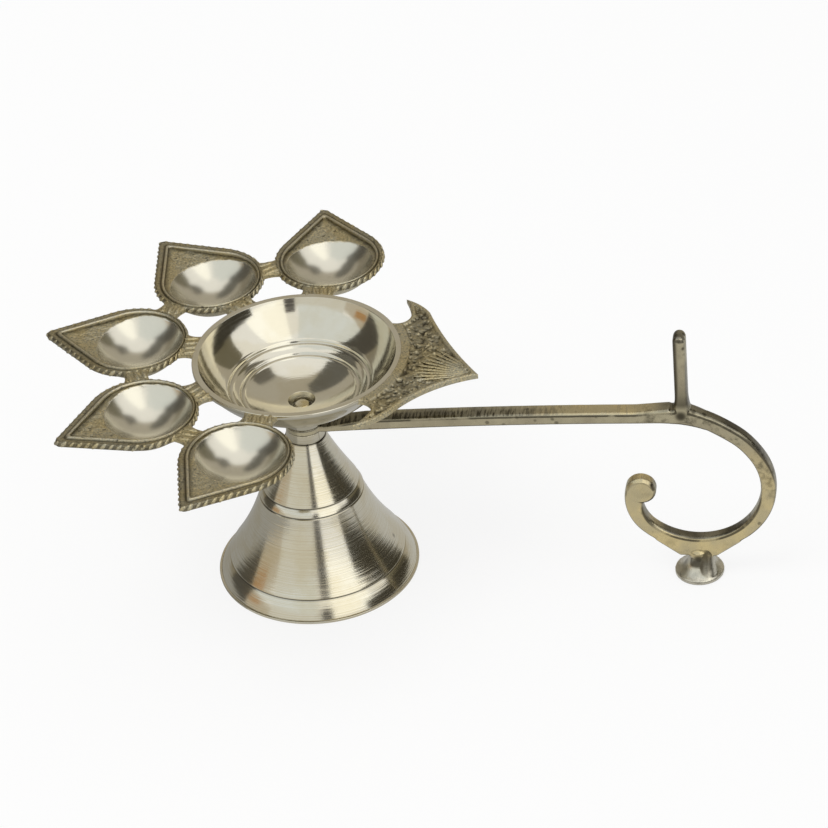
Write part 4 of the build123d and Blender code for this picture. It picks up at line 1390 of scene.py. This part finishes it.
class LAMP_OT_fish_tail(bpy.types.Operator):
    """Build the fish tail with its punched ground and feather rays."""

    bl_idname = "lamp.fish_tail"
    bl_label = "Fish tail"

    def execute(self, context):
        shared = prepare(context)
        s = context.scene.lamp_tail
        points, faces, height, shade_and_tarnish = tail_sheet(s, context.scene.lamp_dish.rim_radius)
        plate = slab("tail", points, faces, height, shade_and_tarnish, s.thick)
        values = {"Rays": s.rays, "First": radians(RAY_FIRST), "Last": radians(RAY_LAST),
                  "Inner": RAY_INNER * MM, "Length": RAY_LENGTH * MM, "Width": s.ray_width,
                  "Height": s.ray_height, "Material": shared["leaf"]}
        focus = (RAY_FOCUS[0] * MM, RAY_FOCUS[1] * MM, -s.border_rise)
        rays = plain_result(set_points("rays", [focus], {}), shared["fan"], values)
        mesh = turned_to(joined("fish_tail_cast", [plate, rays]), ("turn", PLATE_TURN), ("up", DISH_TOP.z))
        place_piece(mesh, shared["leaf"], PLATE_BODY, "cast_brass", "fish_tail", sharp=radians(50))
        return {"FINISHED"}


# Handle

# Rounding of the post and of the bar, as shares of their thickness
POST_ROUND = 0.8
BAR_ROUND = 0.24
# How far an edge that is rubbed bright stands out
EDGE_BEND = 0.035 * MM


def bar_ring(place, heading, width, thick, edge, count=8):
    """Rounded section across the handle's plane; its width is on Y."""
    points = []
    half_w, half_t = width / 2 - edge, thick / 2 - edge
    for corner, (a, b) in enumerate(((1, 1), (-1, 1), (-1, -1), (1, -1))):
        for t in np.linspace(0, pi / 2, count):
            turn = corner * pi / 2 + t
            across, lift = a * half_w + edge * cos(turn), b * half_t + edge * sin(turn)
            points.append((place[0] - lift * sin(heading), across, place[1] + lift * cos(heading)))
    return points


def capped(rows):
    """Closed surface through rings, with a pole at each end."""
    first, last = np.mean(rows[0], 0), np.mean(rows[-1], 0)
    return skin([[tuple(first)]] + rows + [[tuple(last)]])


def faded(away):
    """One at nought, fading smoothly to nought at one and beyond."""
    return cos(min(away, 1.0) * pi / 2) ** 2


def handle_line(s):
    """Stations of the handle, each a place, a heading and a section size, and places of what it carries."""
    eye_z = BELL_TOP.z + SEAT_GAP
    start = (s.neck_flat + s.neck_taper, eye_z + s.eye_thick / 2 + s.neck_rise)
    rod = walk(start, s.rod_slope, s.rod_length / s.rod_bend, -s.rod_bend, 120)
    rod_end, rod_heading = rod[-1]
    shoulder = walk(rod_end, rod_heading, s.shoulder_radius, -(rod_heading + s.slant), 40)
    slant_start = shoulder[-1][0]
    slant_run = s.slant_length * np.array((cos(s.slant), -sin(s.slant)))
    loop_start = slant_start + slant_run
    loop_radius = (loop_start[1] - s.foot_height - s.hook_thick / 2) / (1 + cos(s.slant))
    loop = walk(loop_start, -s.slant, loop_radius, -s.loop_turn, 160)
    curl = walk(loop[-1][0], loop[-1][1], s.curl_radius, -s.curl_turn, 50)
    foot_x = loop_start[0] - loop_radius * sin(s.slant)
    rod_size, hook_size = np.array((s.rod_width, s.rod_thick)), np.array((s.hook_width, s.hook_thick))
    post_x = rod_end[0] + s.post_ahead

    def near_post(place, heading, size, drop, reach):
        """Station that grows upwards and hangs down a little near the post."""
        grow = s.swell * max(0.0, 1 - abs(post_x - place[0]) / reach)
        sag = s.sag * faded(abs(post_x + 0.2 * s.sag_length - place[0]) / s.sag_length)
        return place + left_of(heading) * ((grow - sag) / 2 - drop), heading, size + (0, grow + sag)

    neck_size = np.array((s.neck_width, s.eye_thick))
    stations = [(np.array((s.neck_flat, eye_z + s.eye_thick / 2)), 0.0, neck_size)]
    stations += [near_post(place, heading, rod_size, s.rod_drop, s.swell_length) for place, heading in rod]
    for share, (place, heading) in zip(np.linspace(0, 1, len(shoulder))[1:], shoulder[1:]):
        size = rod_size + (hook_size - rod_size) * share
        stations.append(near_post(place, heading, size, s.rod_drop * (1 - share), 0.4 * s.swell_length))
    stations += [(slant_start + slant_run * t, -s.slant, hook_size) for t in np.linspace(0, 1, 12)[1:-1]]
    stations += [(place, heading, hook_size) for place, heading in loop]
    for share, (place, heading) in zip(np.linspace(0, 1, len(curl))[1:], curl[1:]):
        shift = left_of(heading) * s.curl_shift * share ** 2
        stations.append((place + shift, heading, hook_size + (0, s.curl_swell * share)))
    middle, reach = slant_start + slant_run / 2, 1.6 * s.slant_length
    crowned = []
    for place, heading, size in stations:
        share = faded(np.linalg.norm(place - middle) / reach)
        out = left_of(heading) * s.slant_crown * share
        crowned.append((place + out, heading, size + (0, s.slant_swell * share)))
    return crowned, rod_end, curl[-1][0], foot_x, eye_z, loop_radius + s.hook_thick / 2


def disc_mesh(name, radius, thick, edge, turn):
    """Flat disc with rounded edges about Z, turned by a matrix."""
    half, flat = thick / 2, radius - edge
    profile = [(0, -half), (flat, -half), (radius, -half + edge)]
    profile += [(radius, half - edge), (flat, half), (0, half)]
    verts, faces, _ = lathe(profile, ROUND_STEPS, loop_rows=False)
    mesh = new_mesh(name, verts, faces)
    mesh.transform(turn)
    return mesh


def post_mesh(s, rod_end):
    """Upright post, edge on to the handle, spread at its foot."""
    x, z = rod_end[0] + s.post_ahead, rod_end[1]
    rows = []
    top = z + s.post_height
    for share in np.linspace(0, 1, 14):
        height = z - 0.3 * s.rod_thick + (s.post_flare_height + s.rod_thick) * share
        half = s.post_thick / 2 + s.post_flare * (1 - share) ** 2
        rows.append(post_ring(x, height, half, s.post_width / 2, POST_ROUND))
    straight = top - s.post_thick / 2
    for height in np.linspace(rows[-1][0][2], straight, 12)[1:]:
        rows.append(post_ring(x, height, s.post_thick / 2, s.post_width / 2, POST_ROUND))
    for turn in np.linspace(0, pi / 2, 8)[1:-1]:
        rows.append(post_ring(x, straight + s.post_thick / 2 * sin(turn), s.post_thick / 2 * cos(turn),
                              s.post_width / 2 - s.post_thick / 2 * (1 - cos(turn)) * 0.6, POST_ROUND))
    return new_mesh("post", *capped(rows))


def post_ring(x, z, half_x, half_y, round_share=0.35):
    """Level ring with rounded corners."""
    edge = round_share * min(half_x, half_y)
    ring = bar_ring((x, z), 0.0, 2 * half_y, 2 * half_x, edge)
    return [(x + (pz - z), py, z) for _, py, pz in ring]


def foot_mesh(s, foot_x):
    """Round foot with a hollow cone up into the hook."""
    top, neck = s.foot_height + s.hook_thick * 0.4, s.hook_width / 2
    wide, edge = s.foot_radius, s.foot_edge
    profile = [(0, 0), (wide - 0.3 * MM, 0), (wide, 0.3 * MM), (wide, edge)]
    profile += bowed((wide - 0.2 * MM, edge), (s.foot_neck, s.foot_height - 0.85 * MM), s.foot_hollow, 16)
    profile += [(neck - 0.3 * MM, s.foot_height + 0.6 * MM), (neck - 0.6 * MM, top), (0, top)]
    verts, faces, _ = lathe(profile, ROUND_STEPS, loop_rows=False)
    mesh = new_mesh("foot", verts, faces)
    mesh.transform(Matrix.Translation((foot_x, 0, 0)))
    return mesh


def web_mesh(s, foot_x, outside):
    """Web from the foot to the loop; its flanks run tangent into the loop, whose outer radius is given."""
    low = s.foot_height - s.web_height
    drop = np.array((s.web_foot, outside + s.web_height))
    swing = acos(outside / np.linalg.norm(drop)) + atan2(*drop)
    web_top, high = outside * sin(swing), s.foot_height + outside * (1 - cos(swing))
    reach = (0.8 * s.hook_thick + s.web_height) / (high - low)
    rows = []
    for share in np.linspace(0, min(reach, 1.0), 12):
        half = s.web_foot + (web_top - s.web_foot) * share
        rows.append(post_ring(foot_x, low + (high - low) * share, half, s.hook_width / 2))
    return new_mesh("web", *capped(rows))


def leg_mesh(s, foot_x):
    """Leg from the web down on to the front of the foot."""
    turns = np.arange(20) * FULL_TURN / 20
    rows = []
    for share in np.linspace(0, 1, 10):
        x, y = foot_x + 2.5 * MM, (-0.4 - 3.1 * share ** 1.3) * MM
        height = s.foot_height + 1.2 * MM + (0.4 * MM - s.foot_height) * share
        ring = circle((1.6 + 1.8 * share) * MM, height, turns)
        rows.append([(x + px, y + py, pz) for px, py, pz in ring])
    return new_mesh("leg", *capped(rows))


def ring_mesh(name, radius, hole, low, high):
    """Flat ring about Z."""
    verts, faces, _ = lathe([(hole, low), (radius, low), (radius, high), (hole, high)], ROUND_STEPS)
    return new_mesh(name, verts, faces)


def near_sum(ends, values):
    """Sum of values over the neighbours of each vertex."""
    result = np.zeros_like(values)
    for here, there in ((0, 1), (1, 0)):
        np.add.at(result, ends[:, here], values[ends[:, there]])
    return result


def mark_shade_and_wear(mesh, spots):
    """Attributes for painted shade and for wear: dark spots of painted shade and shadow, each a place and a
    radius, and edges that are rubbed bright.
    """
    count = len(mesh.vertices)
    points, normals = np.zeros((2, count * 3))
    mesh.vertices.foreach_get("co", points)
    mesh.vertices.foreach_get("normal", normals)
    points, normals = points.reshape(-1, 3), normals.reshape(-1, 3)
    shade_and_tarnish = np.zeros(count)
    for place, radius in spots:
        away = np.linalg.norm(points - np.array(place), axis=1) / radius
        shade_and_tarnish = np.maximum(shade_and_tarnish, np.exp(-away ** 4))
    ends = np.zeros(len(mesh.edges) * 2, int)
    mesh.edges.foreach_get("vertices", ends)
    ends = ends.reshape(-1, 2)
    spread = np.maximum(np.bincount(ends.ravel(), minlength=count), 1)
    bend = ((points - near_sum(ends, points) / spread[:, None]) * normals).sum(1)
    for _ in range(2):
        bend = 0.5 * bend + 0.5 * near_sum(ends, bend) / spread
    set_values(mesh, "shade_and_tarnish", shade_and_tarnish)
    set_values(mesh, "wear", np.clip(bend / EDGE_BEND - 0.25, 0, 1))


class LAMP_OT_handle(bpy.types.Operator):
    """Build the handle: eye, rod, finger loop with its knob, post and foot, joined into one casting."""

    bl_idname = "lamp.handle"
    bl_label = "Handle"

    def execute(self, context):
        shared = prepare(context)
        s = context.scene.lamp_handle
        stations, rod_end, knob_at, foot_x, eye_z, loop_outside = handle_line(s)
        rows = [bar_ring(p, h, size[0], size[1], BAR_ROUND * size[1]) for p, h, size in stations]
        eye = ring_mesh("eye", s.eye_radius, s.hole_radius, eye_z, eye_z + s.eye_thick)
        flat = [bar_ring((x, eye_z + s.eye_thick / 2), 0.0, s.neck_width, s.eye_thick, 0.4 * MM)
                for x in np.linspace(s.hole_radius + 1.6 * MM, s.neck_flat + MM, 8)]
        stand = Matrix.Translation((knob_at[0], 0, knob_at[1])) @ Matrix.Rotation(pi / 2, 4, "X")
        knob = disc_mesh("knob", s.knob_radius, s.knob_thick, 1.0 * MM, stand)
        parts = [new_mesh("bar", *capped(rows)), new_mesh("flat", *capped(flat)), eye, knob]
        parts += [post_mesh(s, rod_end), foot_mesh(s, foot_x)]
        parts += [web_mesh(s, foot_x, loop_outside), leg_mesh(s, foot_x)]
        remesh = {"mode": "VOXEL", "voxel_size": s.skin, "adaptivity": 0.0}
        smooth = {"factor": 0.5, "iterations": 5}
        mesh = plain_result(joined("handle_cast", parts), modifiers=[("REMESH", remesh), ("SMOOTH", smooth)])
        mesh.name = "handle_cast"
        post_x, front = rod_end[0] + s.post_ahead, -s.rod_width / 2
        # Dark spots: painted shade round the post's foot and near its top, and painted shadow on the foot
        mark_shade_and_wear(mesh, [((post_x - 0.2 * MM, front, rod_end[1] + 0.9 * MM), 1.9 * MM),
                         ((post_x + 3.6 * MM, front + 1.5 * MM, rod_end[1] + 1.6 * MM), 1.2 * MM),
                         ((post_x + 7 * MM, front + 2 * MM, rod_end[1] + 0.4 * MM), 1.2 * MM),
                         ((post_x + 1.5 * MM, front, rod_end[1] + s.post_height - 4 * MM), 0.7 * MM),
                         ((foot_x + 0.1 * MM, -3.3 * MM, 7.0 * MM), 1.9 * MM),
                         ((foot_x - 6 * MM, -1 * MM, 5.5 * MM), 2.4 * MM)])
        place_piece(mesh, shared["handle"], HANDLE_BODY, "handle_brass", "handle", sharp=radians(80))
        return {"FINISHED"}


# Studio

# Share of white in the floor as it is seen, level of the sky as a light, and the height in metres from
# which the elevation of the cards is reckoned
FLOOR_WHITE = 0.82
SKY_LIGHT = 0.75
CARD_EYE = 0.07
# Half of the floor's length in metres
FLOOR_HALF = 3.0


def stage_material(name, rgb, strength):
    """Plain card that shines a little, for reflections alone."""
    material, tree = empty_material(name)
    glow = add(tree, "ShaderNodeEmission", {"Color": rgba(rgb), "Strength": strength})
    add(tree, "ShaderNodeOutputMaterial", {"Surface": glow.outputs[0]})
    return material


def seen_rays(tree):
    """One for rays of the camera and of mirrors and glass, nought for the rest."""
    path = add(tree, "ShaderNodeLightPath").outputs
    kinds = ("Is Camera Ray", "Is Glossy Ray", "Is Transmission Ray")
    return reckon(tree, "MAXIMUM", *[path[kind] for kind in kinds])


def floor_material(rgb):
    """Pale floor that keeps the lamp's shadow and is white to the camera and in mirrors."""
    material, tree = empty_material("pale floor")
    matt = add(tree, "ShaderNodeBsdfDiffuse", {"Color": rgba(rgb)})
    white = add(tree, "ShaderNodeEmission", {"Color": (1, 1, 1, 1), "Strength": 1.0})
    share = reckon(tree, "MULTIPLY", seen_rays(tree), FLOOR_WHITE)
    both = add(tree, "ShaderNodeMixShader", {0: share, 1: matt.outputs[0], 2: white.outputs[0]})
    add(tree, "ShaderNodeOutputMaterial", {"Surface": both.outputs[0]})
    return material


# Cards for reflections: degrees to the right of the camera with the lower and upper edge there, in
# degrees of elevation; then share of the card radius, strength and colour
CARDS = (
    ("card_back", ((122, -12, 62), (180, -12, 65), (237, -12, 62)), 1.0, 1.0, (0.45, 0.42, 0.355)),
    ("card_back_left", ((188, 42, 55), (210, 38, 62), (240, 36, 64), (254, 36, 56)), 0.97, 1.0,
     (0.14, 0.135, 0.12)),
    ("card_low_left", ((184, 8, 27), (215, -10, 26), (238, -12, 30)), 0.97, 1.0, (0.25, 0.225, 0.175)),
    ("card_left", ((-124, -8, 48), (-92, -2, 58)), 1.0, 1.0, (0.085, 0.08, 0.07)),
    ("card_back_right", ((108, 45, 58), (120, 44, 66), (145, 44, 62)), 0.97, 1.0, (0.16, 0.15, 0.13)),
    ("card_right", ((60, -12, 10), (84, -12, 22), (95, -12, 42), (122, -12, 46)), 1.0, 1.0,
     (0.17, 0.155, 0.11)),
    ("card_core", ((46, -12, 19), (60, -12, 21), (80, -12, 20), (100, -12, 17), (118, -12, 8)), 0.96, 1.0,
     (0.05, 0.046, 0.035)),
    ("card_middle", ((-4, -6, 31), (8, -6, 31)), 0.96, 1.0, (0.11, 0.105, 0.105)),
    ("card_warm", ((-91, 7, 14), (-76, 10, 18)), 0.96, 1.0, (0.46, 0.26, 0.11)),
    ("card_side", ((-92, -6, 24), (-62, -6, 18)), 0.99, 1.0, (0.56, 0.51, 0.42)),
    ("card_cool", ((-92, 22, 76), (-8, 22, 76)), 1.0, 1.0, (0.80, 0.84, 0.86)),
    ("card_front", ((-62, -10, 23), (-4, -10, 23)), 1.0, 1.0, (0.72, 0.71, 0.66)),
    ("card_bright", ((8, 12, 78), (57, 14, 78)), 1.0, 1.35, (1.0, 1.0, 0.97)),
)
FLOOR_CARDS = (
    ("card_floor_left", (-180, -50), (0.36, 0.36, 0.35)),
    ("card_floor_right", (-50, 180), (0.56, 0.56, 0.55)),
)


def card_mesh(name, radius, camera_turn, edges):
    """Upright curved card round the lamp."""
    verts, faces = [], []
    sides, lows, highs = zip(*edges)
    turns = np.linspace(sides[0], sides[-1], 25)
    for degs in turns:
        turn = camera_turn + radians(degs)
        for height in (np.interp(degs, sides, lows), np.interp(degs, sides, highs)):
            rise = radius * tan(radians(height)) + CARD_EYE
            verts.append((radius * cos(turn), radius * sin(turn), rise))
    for i in range(len(turns) - 1):
        faces.append((2 * i, 2 * i + 2, 2 * i + 3, 2 * i + 1))
    mesh = bpy.data.meshes.new(name)
    mesh.from_pydata(verts, [], faces)
    return mesh


def floor_card_mesh(name, radius, camera_turn, sides):
    """Flat sector just over the floor."""
    turns = camera_turn + np.radians(np.linspace(*sides, 41))
    verts = [(0, 0, 0.1 * MM)] + circle(radius, 0.1 * MM, turns)
    mesh = bpy.data.meshes.new(name)
    mesh.from_pydata(verts, [], [(0, i, i + 1) for i in range(1, len(turns))])
    return mesh


def stage_object(name, mesh, material):
    """Object of the studio."""
    mesh.materials.append(material)
    item = bpy.data.objects.new(name, mesh)
    bpy.context.scene.collection.objects.link(item)
    return item


def camera_matrix(s):
    """Place and turn of the camera."""
    pan, tilt, roll = s.camera_pan, s.camera_tilt, s.camera_roll
    ahead = Vector((sin(pan) * cos(tilt), cos(pan) * cos(tilt), -sin(tilt)))
    right = Vector((cos(pan), -sin(pan), 0))
    up = right.cross(ahead)
    rolled = right * cos(roll) + up * sin(roll)
    raised = up * cos(roll) - right * sin(roll)
    matrix = Matrix((rolled, raised, -ahead)).transposed().to_4x4()
    matrix.translation = (0, -s.camera_back, s.camera_height)
    return Matrix.Rotation(s.camera_round, 4, "Z") @ matrix


def studio_world():
    """White surroundings, a little dimmer as a light than they look."""
    world = bpy.data.worlds.new("studio")
    world.use_nodes = True
    tree = world.node_tree
    tree.nodes.clear()
    level = reckon(tree, "ADD", SKY_LIGHT, reckon(tree, "MULTIPLY", seen_rays(tree), 1 - SKY_LIGHT))
    sky = add(tree, "ShaderNodeBackground", {"Color": (1, 1, 1, 1), "Strength": level})
    add(tree, "ShaderNodeOutputWorld", {"Surface": sky.outputs[0]})
    return world


def softbox():
    """Soft light from above, which mirrors don't show."""
    light = bpy.data.lights.new("softbox", "AREA")
    light.shape = "DISK"
    light.size = 1.2
    light.energy = 12.0
    box = bpy.data.objects.new("softbox", light)
    box.location = (-0.6, -0.5, 1.8)
    box.rotation_euler = (-box.location).to_track_quat("-Z", "Y").to_euler()
    box.visible_glossy = False
    return box


def studio_camera(s):
    """Camera of the main view."""
    lens = bpy.data.cameras.new("camera")
    lens.lens = s.lens
    lens.sensor_width = 36
    lens.clip_end = 20
    view = bpy.data.objects.new("camera", lens)
    view.matrix_world = camera_matrix(s)
    return view


class LAMP_OT_studio(bpy.types.Operator):
    """Build the floor, the cards, the light and the camera."""

    bl_idname = "lamp.studio"
    bl_label = "Studio"

    def execute(self, context):
        scene = context.scene
        s = scene.lamp_studio
        corners = [(x * FLOOR_HALF, y * FLOOR_HALF, 0) for x, y in ((-1, -1), (1, -1), (1, 1), (-1, 1))]
        floor = bpy.data.meshes.new("floor")
        floor.from_pydata(corners, [], [(0, 1, 2, 3)])
        stage_object("floor", floor, floor_material(s.floor_colour))
        camera_turn = s.camera_round - pi / 2
        cards = []
        for name, edges, share, strength, rgb in CARDS:
            mesh = card_mesh(name, share * s.card_radius, camera_turn, edges)
            cards.append(stage_object(name, mesh, stage_material(name, rgb, strength)))
        for name, sides, rgb in FLOOR_CARDS:
            mesh = floor_card_mesh(name, s.card_radius, camera_turn, sides)
            cards.append(stage_object(name, mesh, stage_material(name, rgb, 1.0)))
        for card in cards:
            card.visible_camera = False
            card.visible_diffuse = False
            card.visible_shadow = False
        scene.world = studio_world()
        view = studio_camera(s)
        for item in (softbox(), view):
            scene.collection.objects.link(item)
        scene.camera = view
        scene.view_settings.view_transform = "Standard"
        return {"FINISHED"}


# Panel and registration

GROUPS = {
    "lamp_pedestal": PedestalSizes, "lamp_screw": ScrewSizes, "lamp_dish": DishSizes, "lamp_cups": CupSizes,
    "lamp_tail": TailSizes, "lamp_handle": HandleSizes, "lamp_finish": Finish, "lamp_studio": StudioSetup,
}
OPERATORS = (LAMP_OT_pedestal, LAMP_OT_clamp_screw, LAMP_OT_oil_dish, LAMP_OT_leaf_cups, LAMP_OT_fish_tail,
             LAMP_OT_handle, LAMP_OT_studio)


class LAMP_PT_panel(bpy.types.Panel):
    """Pieces of the lamp, with their sizes."""

    bl_idname = "LAMP_PT_panel"
    bl_label = "Aarti lamp"
    bl_space_type = "VIEW_3D"
    bl_region_type = "UI"
    bl_category = "Aarti lamp"

    def draw(self, context):
        for operator in OPERATORS:
            self.layout.operator(operator.bl_idname)
        for name, sizes in GROUPS.items():
            box = self.layout.box()
            box.label(text=sizes.__doc__)
            for field in sizes.__annotations__:
                box.prop(getattr(context.scene, name), field)


def register():
    """Register the classes and hang the sizes on the scene."""
    for item in tuple(GROUPS.values()) + OPERATORS + (LAMP_PT_panel,):
        bpy.utils.register_class(item)
    for name, sizes in GROUPS.items():
        setattr(bpy.types.Scene, name, PointerProperty(type=sizes))


def unregister():
    """Undo register."""
    for name in GROUPS:
        delattr(bpy.types.Scene, name)
    for item in (LAMP_PT_panel,) + OPERATORS + tuple(GROUPS.values()):
        bpy.utils.unregister_class(item)


def main():
    """Build the lamp and its studio."""
    register()
    bpy.ops.lamp.pedestal()
    bpy.ops.lamp.clamp_screw()
    bpy.ops.lamp.oil_dish()
    bpy.ops.lamp.leaf_cups()
    bpy.ops.lamp.fish_tail()
    bpy.ops.lamp.handle()
    bpy.ops.lamp.studio()


if __name__ == "__main__":
    main()
